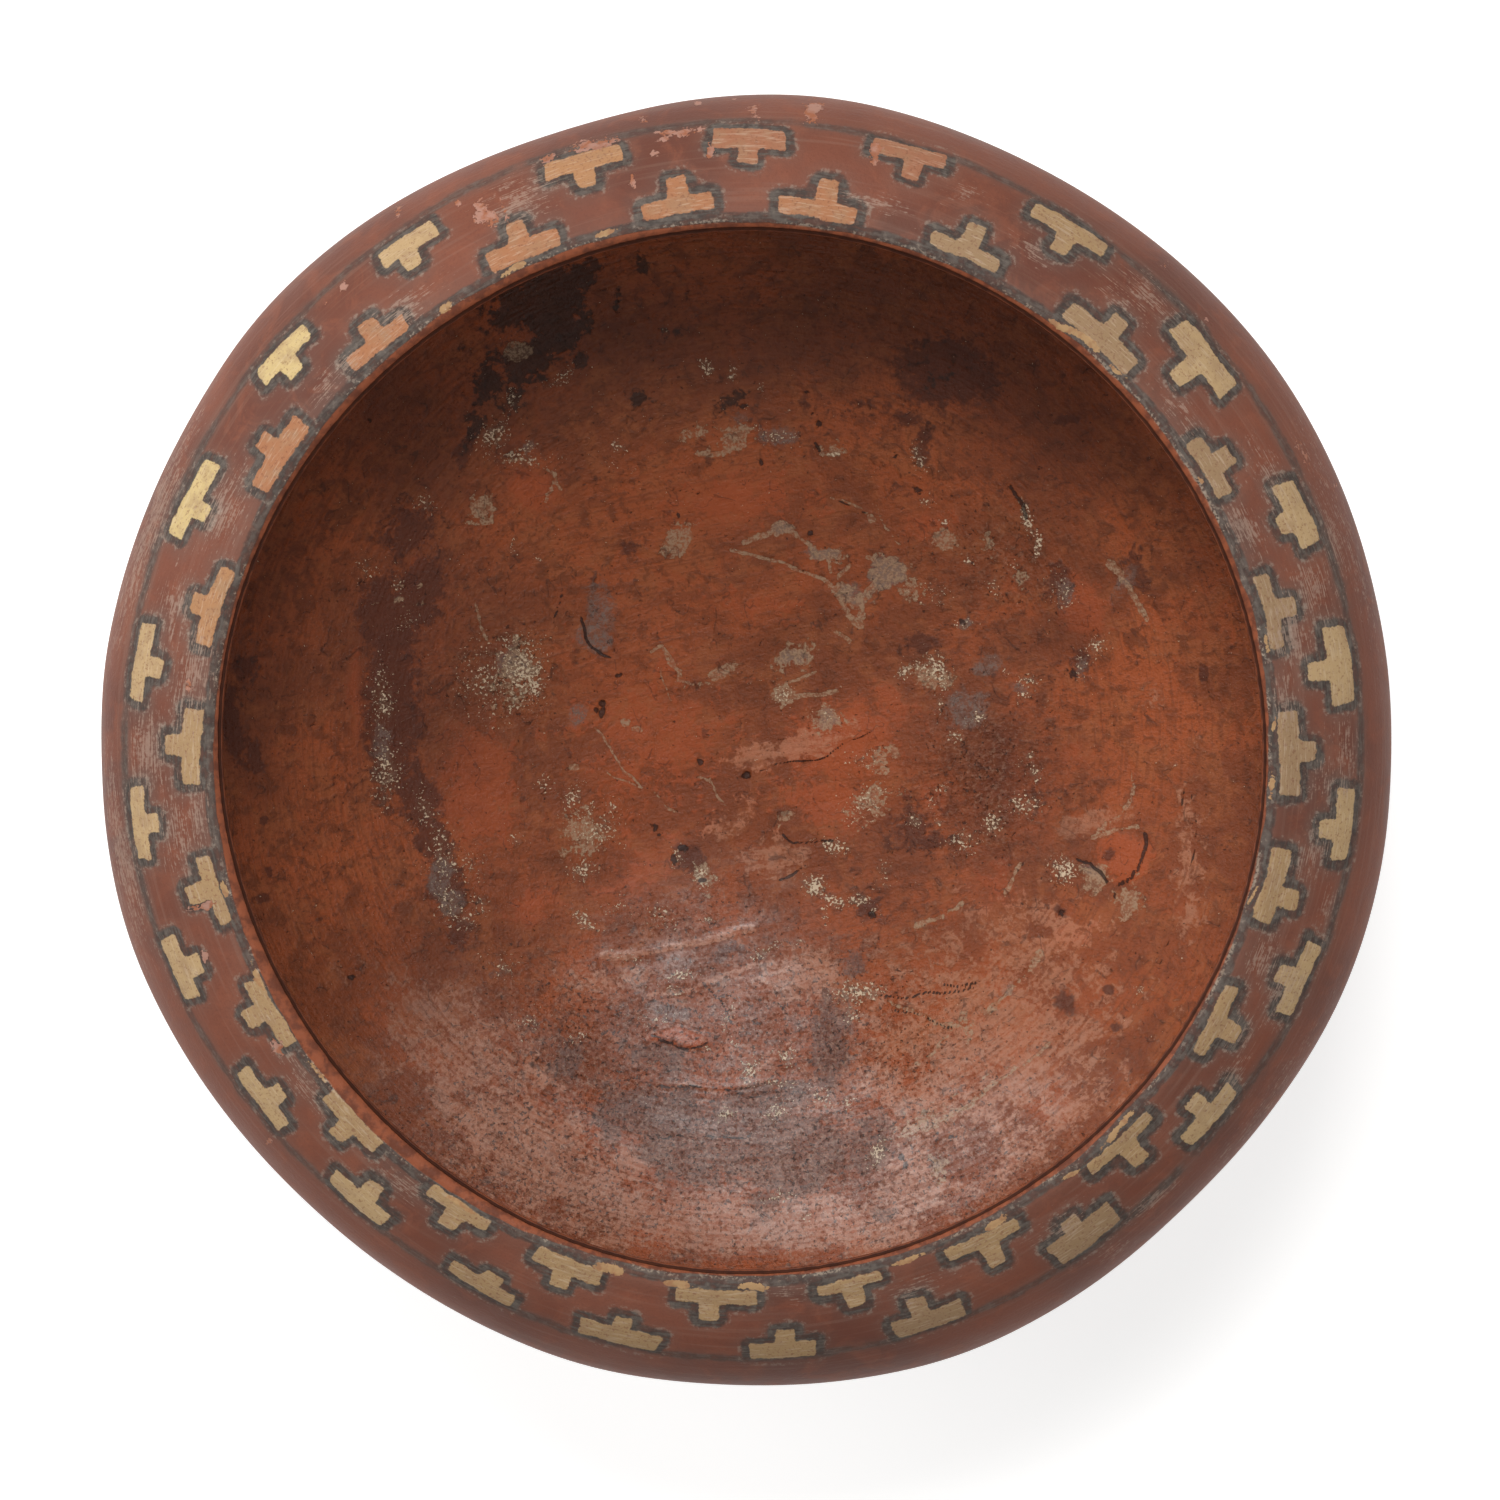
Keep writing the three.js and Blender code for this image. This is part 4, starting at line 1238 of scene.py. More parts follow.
@dataclass(frozen=True)
class BareClay:
    """Fired clay without slip, inside the pedestal."""

    name: str = "bare_clay"
    clay: Colour = srgb(158, 98, 70)
    pale: Colour = srgb(182, 126, 94)
    smoked: Colour = srgb(104, 70, 56)
    grit: Colour = srgb(214, 192, 166)

    def material(self) -> bpy.types.Material:
        """The clay."""
        made = bpy.data.materials.new(self.name)
        graph = Graph(made)
        mottle = graph.noise(9, 4, 0.0, 0.5)
        fine = graph.noise(0.9, 4)
        wipes = graph.streaks(0.3, 1.6)
        colour = graph.layers(
            self.clay,
            (mottle, 0.4, 0.62, 1.0, self.pale),
            (graph.noise(30, 3, 0.4), 0.5, 0.7, 0.7, self.smoked),
            (wipes, 0.5, 0.7, 0.3, self.smoked),
        )
        grit = graph.specks(1.5, 0.2, 0.2)
        colour = graph.mix(grit * 0.6, colour, self.grit)
        colour = graph.layers(colour, (fine, 0.55, 0.7, 0.35, self.smoked))
        relief = 0.12 * mottle + 0.07 * fine + 0.1 * wipes + 0.05 * grit
        graph.shade(relief, {
            "Base Color": colour,
            "Roughness": 0.72 + 0.12 * fine,
            "Specular IOR Level": 0.4,
        })
        return made


@dataclass(frozen=True)
class Finishes:
    """The materials, made once and shared by the pieces."""

    painted: bpy.types.Material
    burnished: bpy.types.Material
    lining: bpy.types.Material
    clay: bpy.types.Material

    @classmethod
    def make(cls) -> "Finishes":
        """Makes them all."""
        return cls(
            PaintedSlip().material(),
            RedSlip().material(),
            WornLining().material(),
            BareClay().material(),
        )


# Handwork


@dataclass(frozen=True)
class Ripples:
    """Gentle unevenness that closes round the axis, from a seed."""

    seed: int
    waves: int
    turns: int  # most waves round the axis
    pitch: float  # shortest wave along the wall, in millimetres
    height: float

    def at(self, angle: Array, radius: Array, height: Array) -> Array:
        """How far the surface swells at each place, in millimetres."""
        chance = random.Random(self.seed)
        swell = np.zeros_like(angle)
        for _ in range(self.waves):
            turns = chance.randint(0, self.turns)
            heading = chance.uniform(0.0, math.tau)
            rate = math.tau / (self.pitch * chance.uniform(1.0, 3.0))
            run = (radius * math.cos(heading) + height * math.sin(heading)) * rate
            swell += np.cos(turns * angle + run + chance.uniform(0.0, math.tau))
        return swell * self.height * math.sqrt(2.0 / self.waves) * smooth(0.0, 22.0, radius)


# How far the girth and the mouth stand outside their true circles, in millimetres
GIRTH_OUTLINE: Readings = (
    (0, -0.3), (20, 0.05), (33, 0.45), (47, 0.3), (67, -0.05), (83, 0.65), (90, 0.05), (104, -1.2),
    (112, -1.1), (125, -0.25), (140, 0.1), (148, -0.45), (160, 0.05), (175, 0.55), (180, -0.05),
    (197, 0.9), (211, 0.25), (226, -0.8), (240, -0.8), (255, 0.35), (270, -0.05), (290, 0.75),
    (305, -0.45), (315, -1.0), (330, -0.15), (340, 0.35),
)
MOUTH_LOBES = ((2, 0.25, -44.0), (3, 0.27, 45.0), (4, 0.4, -9.0))  # waves round, height, crest


@dataclass(frozen=True)
class HandForming:
    """What the potter's hand does to the true turned shape, the same for every piece."""

    girth_height: float
    top_height: float
    base_height: float
    lip_wave: float = 0.3  # how far the lip dips
    swells: Ripples = Ripples(11, 26, 7, 34.0, 0.2)
    scrapes: Ripples = Ripples(23, 30, 26, 9.0, 0.035)
    presses: Ripples = Ripples(37, 20, 9, 14.0, 0.16)

    def shaped(self, points: Array, outward: Array) -> Array:
        """Moves points of the true shape to where handwork leaves them.

        Args:
            points: Places on the true shape, in millimetres.
            outward: Direction at each place, out of the bowl, as a share along radius and height.

        Returns:
            The new places.
        """
        x, y, height = points.T
        angle = np.arctan2(y, x)
        radius = np.hypot(x, y)
        rise = smooth(self.girth_height, self.top_height, height)
        body = smooth(self.base_height + 12.0, self.girth_height, height)
        lobe = read_round(GIRTH_OUTLINE, angle, 4.0) * body * (1.0 - rise)
        for waves, swell, crest in MOUTH_LOBES:
            lobe += swell * rise * np.cos(waves * (angle - math.radians(crest)))
        carried = smooth(self.base_height - 8.0, self.base_height + 6.0, height)
        swell = self.swells.at(angle, radius, height) + self.scrapes.at(angle, radius, height)
        press = self.presses.at(angle, radius, height) * (1.0 - carried)
        outset = lobe + press + outward[:, 0] * swell * carried
        dip = self.lip_wave * rise * (0.5 + 0.5 * np.sin(3.0 * angle + 0.7) * np.cos(2.0 * angle))
        lift = outward[:, 1] * swell * carried - dip * smooth(0.8, 1.0, rise)
        scale = (radius + outset) / np.maximum(radius, 1e-6)
        return np.stack((x * scale, y * scale, height + lift), axis=1)


class Wheel:
    """Turns sections into meshes."""

    def turn(
        self,
        name: str,
        section: Sequence[Point],
        segments: int,
        lined: Callable[[float, float], bool],
    ) -> bpy.types.Object:
        """Turns a section about the axis.

        Args:
            name: Name of the piece.
            section: Its outline as radii and heights, in millimetres. One that starts on the axis ends
                there too.
            segments: Steps round the axis, a multiple of the coarse ones.
            lined: Whether a place of the section takes the second material.

        Returns:
            The piece, a closed shell with its faces outwards.
        """
        form = bmesh.new()
        outline = [form.verts.new((radius * MM, 0.0, height * MM)) for radius, height in section]
        on_axis = section[0][0] < 1e-6
        following = outline[1:] if on_axis else outline[1:] + outline[:1]
        seams = [form.edges.new(pair) for pair in zip(outline, following)]
        bmesh.ops.spin(
            form, geom=outline + seams, cent=(0, 0, 0), axis=(0, 0, 1), dvec=(0, 0, 0),
            angle=math.tau, steps=COARSE_STEPS, use_merge=True, use_duplicate=False,
        )
        poles = [vert for vert in form.verts if vert.co.xy.length < 1e-6]
        bmesh.ops.remove_doubles(form, verts=poles, dist=1e-5)
        bmesh.ops.recalc_face_normals(form, faces=form.faces)
        for face in form.faces:
            middle = face.calc_center_median()
            face.material_index = int(lined(middle.xy.length / MM, middle.z / MM))
        around = [edge for edge in form.edges if self._runs_round(edge)]
        cuts = segments // COARSE_STEPS - 1
        bmesh.ops.subdivide_edges(form, edges=around, cuts=cuts, use_grid_fill=True)
        mesh = bpy.data.meshes.new(name)
        form.to_mesh(mesh)
        form.free()
        self.write(mesh, self._rounded(self.read(mesh)))
        return add_object(name, mesh)

    @staticmethod
    def read(mesh: bpy.types.Mesh) -> Array:
        """Places of a mesh's points, in millimetres."""
        places = np.empty(len(mesh.vertices) * 3, dtype=np.float32)
        mesh.vertices.foreach_get("co", places)
        return places.reshape(-1, 3).astype(np.float64) / MM

    @staticmethod
    def write(mesh: bpy.types.Mesh, points: Array) -> None:
        """Moves a mesh's points, given in millimetres."""
        mesh.vertices.foreach_set("co", (points * MM).astype(np.float32).ravel())
        mesh.update()

    @staticmethod
    def _runs_round(edge: bmesh.types.BMEdge) -> bool:
        """Whether an edge runs round the axis."""
        first, second = (vert.co for vert in edge.verts)
        return abs(first.z - second.z) < 1e-7 and abs(first.xy.length - second.xy.length) < 1e-6

    @staticmethod
    def _rounded(points: Array) -> Array:
        """Moves points from the chords of the coarse turn out to its circles."""
        angle = np.arctan2(points[:, 1], points[:, 0])
        arc = math.tau / COARSE_STEPS
        middle = (np.floor(angle / arc) + 0.5) * arc
        stretch = np.cos(angle - middle) / math.cos(arc / 2)
        return points * np.stack((stretch, stretch, np.ones_like(stretch)), axis=1)


# The vessel


@dataclass(frozen=True)
class Skin:
    """One face of the bowl's wall: half an ellipse below the girth and part of a smaller one above.

    A place on it is its turn, which is 0 at the girth and a negative quarter turn on the axis.
    """

    below: Point  # reach and drop
    above: Point  # reach and rise
    girth_height: float
    shoulder_centre: float

    def point(self, turn: float) -> Point:
        """Radius and height at a turn."""
        reach, rise = self.below if turn < 0 else self.above
        centre = 0.0 if turn < 0 else self.shoulder_centre
        return centre + reach * math.cos(turn), self.girth_height + rise * math.sin(turn)

    def speed(self, turn: float) -> float:
        """Length along the skin for each radian of turn."""
        reach, rise = self.below if turn < 0 else self.above
        return math.hypot(reach * math.sin(turn), rise * math.cos(turn))

    def along(self, turn: float, length: float) -> float:
        """The turn that lies a length further along the skin."""
        return turn + length / self.speed(turn)

    def stretch(self, start: float, end: float, spacing: float) -> list[Point]:
        """Points from one turn to another.

        Args:
            start: The first turn.
            end: The last turn.
            spacing: Longest distance between two points.

        Returns:
            The points, with both ends.
        """
        length = abs(end - start) * self.speed((start + end) / 2)
        return [self.point(turn) for turn in spaced(start, end, steps_over(length, spacing))]


@dataclass(frozen=True)
class Joint:
    """A slanting joint between two courses, as a turn on each skin."""

    outer: float
    inner: float


@dataclass(frozen=True)
class Course:
    """How one piece of the bowl is named and how finely it is turned."""

    node: str
    name: str
    slot: str
    segments: int  # steps round the axis
    inner: float = 0.0  # spacing of its rings inside, in millimetres
    outer: float = 1.8  # and outside


COURSES = (
    Course("floor_disc", "bowl_floor", "worn_slip", 640, 0.4),
    Course("lower_wall_course", "bowl_wall_lower", "worn_slip", 896, 0.5),
    Course("middle_wall_course", "bowl_wall_middle", "worn_slip", 1088, 0.6),
    Course("upper_wall_course", "bowl_wall_upper", "burnished_slip", 1088, 0.9),
    Course("shoulder_course", "bowl_shoulder", "painted_slip", 1088, 2.0, 0.55),
    Course("lip_coil", "bowl_lip", "bare_clay", 960),
)


@dataclass(frozen=True)
class Bowl:
    """The bowl above its pedestal: floor, three wall courses, shoulder and lip."""

    girth_radius: float
    girth_height: float
    base_height: float
    top_height: float
    floor_thickness: float = 6.5
    girth_thickness: float = 6.0
    shoulder_thickness: float = 5.0
    mouth_radius: float = 98.7
    lip_round: float = 2.6
    lip_width: float = 6.3
    crown_inset: float = 3.0
    floor_radius: float = 40.0
    lower_joint_radius: float = 74.0
    upper_joint_radius: float = 104.0
    scarf: float = 3.0  # how much lower a joint lies outside than inside, along the wall

    @classmethod
    def from_frame(cls) -> "Bowl":
        """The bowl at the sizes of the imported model."""
        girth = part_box("upper_wall_course")[1]
        return cls(
            girth_radius=girth.x / MM,
            girth_height=girth.z / MM,
            base_height=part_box("floor_disc")[0].z / MM,
            top_height=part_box("lip_coil")[1].z / MM,
        )

    @property
    def shoulder_centre(self) -> float:
        """Radius of the circle that the shoulder's ellipse is centred on."""
        return self.mouth_radius - self.crown_inset

    @property
    def outside(self) -> Skin:
        """The outer skin."""
        return self._skin(0.0, 0.0, 0.0)

    @property
    def inside(self) -> Skin:
        """The inner skin."""
        return self._skin(self.floor_thickness, self.girth_thickness, self.shoulder_thickness)

    @property
    def middle(self) -> Skin:
        """The middle of the wall."""
        return self._skin(self.floor_thickness / 2, self.girth_thickness / 2, self.shoulder_thickness / 2)

    def underside(self, radius: float) -> float:
        """Height of the bowl's underside above a radius."""
        reach, drop = self.outside.below
        return self.girth_height - drop * math.sqrt(1.0 - (radius / reach) ** 2)

    def joint(self, radius: float, above: bool = False) -> Joint:
        """The joint through a radius of the outside, below or above the girth."""
        centre = self.shoulder_centre if above else 0.0
        reach = (self.outside.above if above else self.outside.below)[0]
        turn = math.acos((radius - centre) / reach) * (1 if above else -1)
        return Joint(
            self.outside.along(turn, -self.scarf / 2),
            self.inside.along(turn, self.scarf / 2),
        )

    def lined(self, radius: float, height: float) -> bool:
        """Whether a place is on the inner side of the wall."""
        reach, rise = self.middle.below if height < self.girth_height else self.middle.above
        centre = 0.0 if height < self.girth_height else self.shoulder_centre
        return math.hypot((radius - centre) / reach, (height - self.girth_height) / rise) < 1.0

    def build(self, wheel: Wheel, forming: HandForming, finishes: Finishes) -> None:
        """Makes the bowl's pieces, from the floor up.

        Args:
            wheel: Turns the sections.
            forming: What the potter's hand does to them.
            finishes: The materials.
        """
        axis = Joint(-math.pi / 2, -math.pi / 2)
        radii = (self.floor_radius, self.lower_joint_radius, self.upper_joint_radius)
        lip = self.joint(self.mouth_radius + self.lip_width, above=True)
        joints = (axis, *map(self.joint, radii), Joint(0.0, 0.0), lip)
        sections = [
            self.outside.stretch(low.outer, high.outer, course.outer)
            + self.inside.stretch(high.inner, low.inner, course.inner)
            for course, low, high in zip(COURSES, joints, joints[1:])
        ]
        sections.append(self._lip_section(lip))
        faces = (finishes.clay, *[finishes.burnished] * 3, *[finishes.painted] * 2)
        frieze = Frieze(self._shoulder_outline(lip), self.mouth_radius)
        for course, section, face in zip(COURSES, sections, faces):
            piece = wheel.turn(course.name, section, course.segments, self.lined)
            true_radius = np.hypot(*wheel.read(piece.data)[:, :2].T)
            self._shape(wheel, forming, piece)
            points = wheel.read(piece.data)
            LINING_MARKS.write(piece.data, points)
            if face is finishes.painted:
                frieze.write(piece.data, points, true_radius)
            finish_piece(piece, course.node, course.slot, (face, finishes.lining))

    def outward(self, points: Array) -> Array:
        """Direction out of the bowl at each point, as shares along radius and height."""
        radius = np.hypot(points[:, 0], points[:, 1])
        height = points[:, 2] - self.girth_height
        (reach, drop), (reach_above, rise) = self.middle.below, self.middle.above
        high = height > 0
        along = np.where(high, (radius - self.shoulder_centre) / reach_above**2, radius / reach**2)
        up = np.where(high, height / rise**2, height / drop**2)
        length = np.maximum(np.hypot(along, up), 1e-9)
        return np.stack((along / length, up / length), axis=1)

    def _skin(self, floor: float, girth: float, shoulder: float) -> Skin:
        """A skin that lies the given depths inside the outer one."""
        reach = self.girth_radius - self.shoulder_centre
        return Skin(
            below=(self.girth_radius - girth, self.girth_height - self.base_height - floor),
            above=(reach - girth, self.top_height - self.girth_height - shoulder),
            girth_height=self.girth_height,
            shoulder_centre=self.shoulder_centre,
        )

    def _lip_outline(self, joint: Joint) -> list[Point]:
        """Outer side of the lip, from its joint up and over to the mouth's edge."""
        start = Vector(self.outside.point(joint.outer))
        ahead = Vector(self.outside.point(joint.outer + 0.01))
        top = Vector((self.mouth_radius + self.lip_round, self.top_height))
        pull = (top - start).length / 3
        control = start + (ahead - start).normalized() * pull
        control_top = top + Vector((pull, 0.0))
        outline = []
        for share in spaced(0.0, 1.0, 12):
            rest = 1.0 - share
            place = start * rest**3 + control * (3 * rest**2 * share)
            place += control_top * (3 * rest * share**2) + top * share**3
            outline.append((place.x, place.y))
        return outline + self._lip_round(90.0, 180.0, 12)[1:]

    def _lip_round(self, start: float, end: float, steps: int) -> list[Point]:
        """Points of the lip's rounded edge from one angle to another, in degrees."""
        radius = self.mouth_radius + self.lip_round
        height = self.top_height - self.lip_round
        return [
            (radius + self.lip_round * math.cos(angle), height + self.lip_round * math.sin(angle))
            for angle in map(math.radians, spaced(start, end, steps))
        ]

    def _lip_section(self, joint: Joint) -> list[Point]:
        """Outline of the lip's coil."""
        under = self._lip_round(180.0, 270.0, 8)[1:]
        return self._lip_outline(joint) + under + [self.inside.point(joint.inner)]

    def _shoulder_outline(self, lip: Joint) -> list[Point]:
        """The outer skin from the girth to the mouth's edge."""
        return self.outside.stretch(0.0, lip.outer, 0.5) + self._lip_outline(lip)[1:]

    def _shape(self, wheel: Wheel, forming: HandForming, piece: bpy.types.Object) -> None:
        """Cuts the deep marks into a piece and gives it its handwork."""
        points = wheel.read(piece.data)
        outward = self.outward(points)
        radius = np.hypot(points[:, 0], points[:, 1])
        lined = np.array([self.lined(*place) for place in zip(radius, points[:, 2])])
        depth = np.zeros_like(radius)
        x, y, _ = (points + STRAY * wander(points)).T
        for mark, cut in LINING_RELIEF:
            depth += cut * smooth(0.4, 0.62, mark.cover(x, y))
        depth *= lined
        scale = 1.0 + outward[:, 0] * depth / np.maximum(radius, 1e-6)
        height = points[:, 2] + outward[:, 1] * depth
        cut = np.stack((points[:, 0] * scale, points[:, 1] * scale, height), axis=1)
        wheel.write(piece.data, forming.shaped(cut, outward))


@dataclass(frozen=True)
class Pedestal:
    """The hollow flared support: wall, rolled foot and the coils that lute it to the bowl."""

    bowl: Bowl
    foot_radius: float
    foot_height: float
    neck_radius: float = 45.0
    thickness: float = 6.5
    flare_radius: float = 56.0
    foot_width: float = 11.0
    rest_width: float = 6.0
    outer_coil: float = 8.0
    inner_coil: float = 6.0
    feather: float = 0.3
    slip: float = 0.3
    segments: int = 512
    spacing: float = 0.9

    @classmethod
    def from_frame(cls, bowl: Bowl) -> "Pedestal":
        """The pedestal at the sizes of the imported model."""
        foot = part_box("foot_roll")[1]
        return cls(bowl, foot_radius=foot.x / MM, foot_height=foot.z / MM)

    def build(self, wheel: Wheel, forming: HandForming, finishes: Finishes) -> None:
        """Makes the pedestal's pieces.

        Args:
            wheel: Turns the sections.
            forming: What the potter's hand does to them.
            finishes: The materials.
        """
        outer_coil = self._coil_section(self.neck_radius, self.outer_coil, 1)
        inner_coil = self._coil_section(self.neck_radius - self.thickness, self.inner_coil, -1)
        pieces = (
            ("pedestal_wall", "pedestal_wall_flared", self._wall_section(), "burnished_slip"),
            ("foot_roll", "pedestal_foot", self._foot_section(), "burnished_slip"),
            ("outer_corner_coil", "pedestal_coil_outer", outer_coil, "burnished_slip"),
            ("inner_corner_coil", "pedestal_coil_inner", inner_coil, "bare_clay"),
        )
        for node, name, section, slot in pieces:
            piece = wheel.turn(name, section, self.segments, self._hidden)
            points = wheel.read(piece.data)
            wheel.write(piece.data, forming.shaped(points, self.bowl.outward(points)))
            finish_piece(piece, node, slot, (finishes.burnished, finishes.clay))

    def _hidden(self, radius: float, height: float) -> bool:
        """Whether a place faces the pedestal's hollow."""
        middle = self._flare_radius(height) - self.thickness / 2
        return radius < min(middle, self.foot_radius - self.foot_width / 2)

    def _neck_foot(self) -> float:
        """Height at which the upright neck begins to flare."""
        reach = max(self.outer_coil, self.inner_coil)
        return self.bowl.underside(self.neck_radius - self.thickness) - reach - 2 * self.slip

    def _flare(self, share: float) -> Point:
        """A point of the flare, from the foot at 0 to the neck at 1."""
        top = self._neck_foot()
        rest = 1.0 - share
        radius = self.flare_radius * rest**2 + self.neck_radius * (1.0 - rest**2)
        knee = (top + self.foot_height) / 2
        height = self.foot_height * rest**2 + 2 * knee * rest * share + top * share**2
        return radius, height

    def _flare_radius(self, height: float) -> float:
        """Outer radius of the pedestal's wall at a height."""
        share = (height - self.foot_height) / (self._neck_foot() - self.foot_height)
        return self._flare(min(max(share, 0.0), 1.0))[0]

    def _under(self, start: float, end: float) -> list[Point]:
        """Points along the bowl's underside between two radii."""
        radii = spaced(start, end, steps_over(abs(end - start), self.spacing))
        return [(radius, self.bowl.underside(radius)) for radius in radii]

    def _wall_section(self) -> list[Point]:
        """Outline of the flared wall."""
        outer = [self._flare(share) for share in spaced(0.0, 1.0, 20)]
        neck = self._upright(self.neck_radius)
        inner = [(radius - self.thickness, height) for radius, height in reversed(outer)]
        roof = self._under(self.neck_radius, self.neck_radius - self.thickness)
        neck_inside = list(reversed(self._upright(self.neck_radius - self.thickness)))
        foot = self._level(self.flare_radius - self.thickness, self.flare_radius)
        return outer + neck + roof + neck_inside + inner + foot

    def _upright(self, radius: float) -> list[Point]:
        """Points between the flare and the bowl's underside, without either end."""
        low, high = self._neck_foot(), self.bowl.underside(radius)
        return [(radius, height) for height in spaced(low, high, steps_over(high - low, self.spacing))[1:-1]]

    def _level(self, start: float, end: float) -> list[Point]:
        """Points under the wall, without either end."""
        radii = spaced(start, end, steps_over(end - start, self.spacing))
        return [(radius, self.foot_height) for radius in radii[1:-1]]

    def _foot_section(self) -> list[Point]:
        """Outline of the rolled foot, flat above and below."""
        middle = self.foot_radius - self.foot_width / 2
        side = (self.foot_width - self.rest_width) / 2
        rise = self.foot_height / 2
        outline: list[Point] = []
        for centre, start in ((middle + self.rest_width / 2, -90), (middle - self.rest_width / 2, 90)):
            for angle in map(math.radians, spaced(start, start + 180, 16)):
                outline.append((centre + side * math.cos(angle), rise + rise * math.sin(angle)))
            flat = spaced(centre, 2 * middle - centre, 6)[1:-1]
            outline += [(radius, outline[-1][1]) for radius in flat]
        return outline

    def _coil_section(self, wall_radius: float, reach: float, side: int) -> list[Point]:
        """Outline of a coil in the corner under the bowl.

        Args:
            wall_radius: Radius of the pedestal's face that it lies against.
            reach: How far it reaches along either surface.
            side: 1 outside the pedestal and -1 inside it.

        Returns:
            The outline.
        """
        far = wall_radius + side * reach
        roof = self._under(wall_radius, far)
        low = roof[0][1] - reach
        width = reach - self.feather
        rise = roof[-1][1] - self.feather - low
        hollow = [
            (far - side * width * math.cos(angle), low + rise * math.sin(angle))
            for angle in map(math.radians, spaced(90, 0, 12))
        ]
        face = [(wall_radius, height) for height in spaced(low, low + reach, 8)[:-1]]
        return roof + hollow + face


def finish_piece(
    piece: bpy.types.Object, node: str, slot: str, materials: Sequence[bpy.types.Material]
) -> None:
    """Smooths and dresses a piece and puts it in a node's place.

    Args:
        piece: The shaped piece.
        node: The CAD node that it stands for.
        slot: The record's material slot for the piece; not used.
        materials: The finishes of its plain and of its lined faces.
    """
    piece.data.shade_smooth()
    piece.data.set_sharp_from_angle(angle=SHARP_ANGLE)
    for material in materials:
        piece.data.materials.append(material)
    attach(piece, "root")
    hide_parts(node)
    log.info("%s stands for %s, with %d faces", piece.name, node, len(piece.data.polygons))


# The studio


def facing(aim: Vector, azimuth: float, elevation: float, distance: float, up: Vector) -> Matrix:
    """Place and turn of a lamp or camera that faces a point.

    Args:
        aim: The point.
        azimuth: Its direction from there, in degrees from +X.
        elevation: Its height above the horizon from there, in degrees.
        distance: How far off it is.
        up: What its sideways axis is square to.

    Returns:
        The matrix that places it.
    """
    azimuth, elevation = math.radians(azimuth), math.radians(elevation)
    level = math.cos(elevation)
    away = Vector((level * math.cos(azimuth), level * math.sin(azimuth), math.sin(elevation)))
    across = up.cross(away).normalized()
    turn = Matrix((across, away.cross(across), away)).transposed()
    return Matrix.Translation(aim + away * distance) @ turn.to_4x4()


@dataclass(frozen=True)
class Lamp:
    """A soft box: where it hangs about the bowl, its size and its light."""

    name: str
    azimuth: float
    elevation: float
    distance: float
    width: float
    height: float
    watts: float

    def hang(self, aim: Vector) -> None:
        """Hangs the lamp so that it faces a point."""
        light = bpy.data.lights.new(self.name, "AREA")
        light.shape = "RECTANGLE"
        light.size = self.width
        light.size_y = self.height
        light.energy = self.watts
        lamp = add_object(self.name, light)
        lamp.matrix_world = facing(aim, self.azimuth, self.elevation, self.distance, Vector((0, 0, 1)))


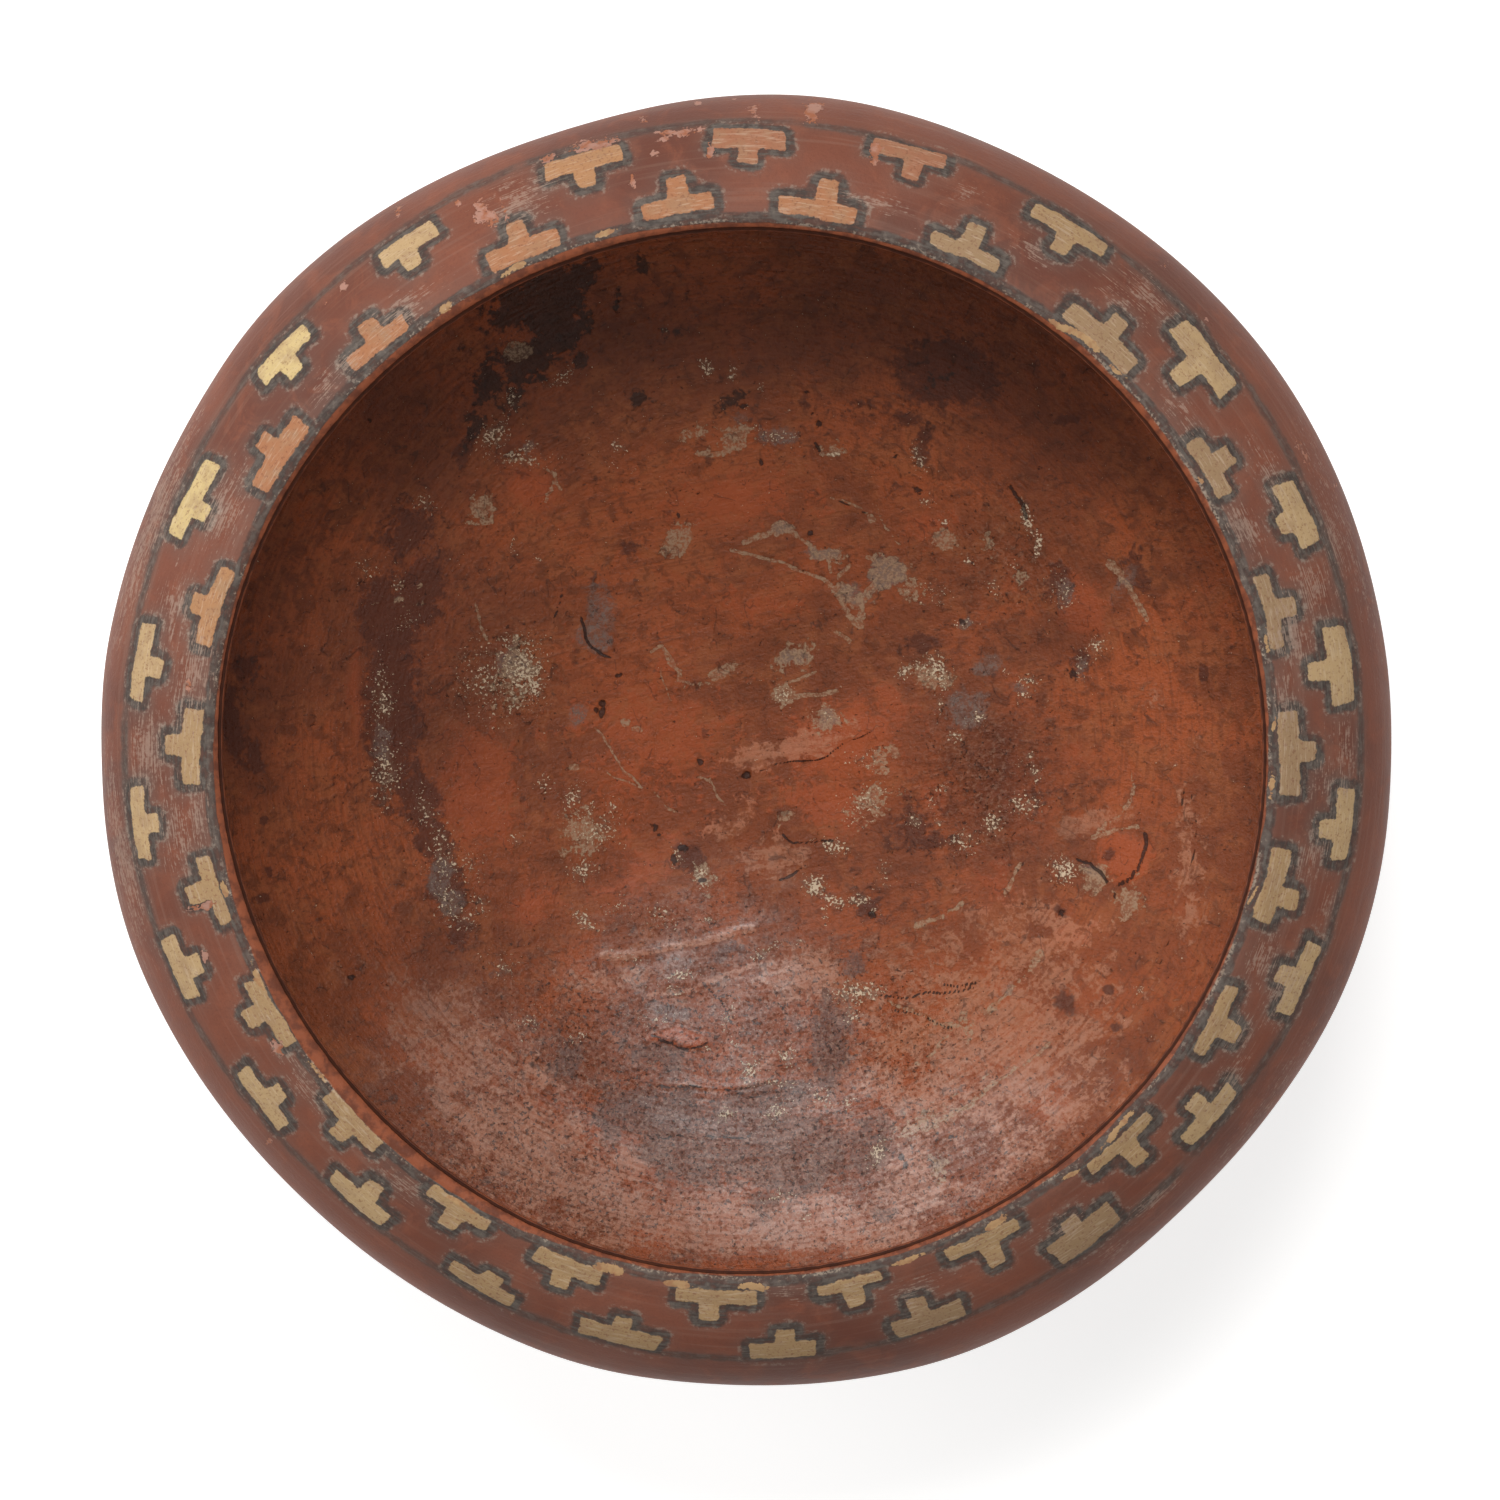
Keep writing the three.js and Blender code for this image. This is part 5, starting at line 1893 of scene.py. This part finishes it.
@dataclass(frozen=True)
class Studio:
    """Pale floor, soft light and the camera that looks down into the bowl."""

    aim: Point = (0.76, -1.2)  # where the camera looks, in millimetres from the axis
    distance: float = 1.3
    tilt: float = 3.8  # how far the camera stands off the vertical, in degrees
    toward: float = 68.0  # in which direction, in degrees
    sensor: float = 36.0
    lens: float = 160.8
    floor_size: float = 3.0
    glow: float = 0.62  # light that the floor adds where it is seen, so that it shows white
    sky: float = 0.15
    lamps: tuple[Lamp, ...] = (
        Lamp("key_lamp", 92.0, 65.0, 1.6, 0.5, 0.4, 13.5),
        Lamp("strip_lamp", 112.0, 42.0, 1.6, 1.0, 0.35, 7.0),
        Lamp("side_lamp", 160.0, 27.0, 1.6, 0.8, 0.45, 11.0),
        Lamp("edge_lamp", 0.0, 20.0, 1.6, 0.8, 0.4, 3.0),
        Lamp("low_lamp", 268.0, 62.0, 1.6, 0.9, 0.9, 4.5),
    )

    def build(self, girth_height: float) -> None:
        """Sets up the studio.

        Args:
            girth_height: Height of the bowl's girth, which the camera is aimed at, in millimetres.
        """
        aim = Vector((self.aim[0] * MM, self.aim[1] * MM, girth_height * MM))
        self._floor()
        self._sky()
        for lamp in self.lamps:
            lamp.hang(aim)
        self._camera(aim)
        bpy.context.scene.view_settings.view_transform = "Standard"
        log.info("studio: floor, sky, %d lamps and camera", len(self.lamps))

    def _floor(self) -> None:
        """A pale floor that shows white, with the bowl's shadow."""
        form = bmesh.new()
        bmesh.ops.create_circle(form, cap_ends=True, segments=96, radius=self.floor_size)
        mesh = bpy.data.meshes.new("studio_floor")
        form.to_mesh(mesh)
        form.free()
        floor = add_object("studio_floor", mesh)
        paper = bpy.data.materials.new("studio_paper")
        graph = Graph(paper)
        shader = next(node for node in graph.tree.nodes if node.type == "BSDF_PRINCIPLED")
        shader.inputs["Base Color"].default_value = srgb(222, 221, 219)
        shader.inputs["Roughness"].default_value = 0.9
        shader.inputs["Specular IOR Level"].default_value = 0.1
        shader.inputs["Emission Color"].default_value = (1.0, 1.0, 1.0, 1.0)
        graph.feed(shader.inputs["Emission Strength"], self._seen(graph) * self.glow)
        mesh.materials.append(paper)

    def _sky(self) -> None:
        """Even light from all round, white where it is seen."""
        world = bpy.data.worlds.new("studio_sky")
        bpy.context.scene.world = world
        graph = Graph(world)
        background = next(node for node in graph.tree.nodes if node.type == "BACKGROUND")
        background.inputs["Color"].default_value = (1.0, 1.0, 1.0, 1.0)
        graph.feed(background.inputs["Strength"], self.sky + self._seen(graph) * (1.0 - self.sky))

    @staticmethod
    def _seen(graph: Graph) -> Value:
        """1 for a ray that shows the background, straight or in gloss or glass."""
        ways = [graph.node("ShaderNodeLightPath", output=f"Is {way} Ray") for way in
                ("Camera", "Glossy", "Transmission")]
        return graph.largest(*ways)

    def _camera(self, aim: Vector) -> None:
        """The camera, above the bowl and a little behind its middle."""
        data = bpy.data.cameras.new("camera_above")
        data.sensor_width = self.sensor
        data.lens = self.lens
        camera = add_object("camera_above", data)
        camera.matrix_world = facing(aim, self.toward, 90.0 - self.tilt, self.distance, Vector((0, 1, 0)))
        bpy.context.scene.camera = camera


def main() -> None:
    """Builds the bowl, its pedestal and the studio, in that order."""
    logging.basicConfig(level=logging.INFO, format="%(name)s: %(message)s")
    bowl = Bowl.from_frame()
    forming = HandForming(bowl.girth_height, bowl.top_height, bowl.base_height)
    finishes = Finishes.make()
    wheel = Wheel()
    bowl.build(wheel, forming, finishes)
    Pedestal.from_frame(bowl).build(wheel, forming, finishes)
    Studio().build(bowl.girth_height)


if __name__ == "__main__":
    main()
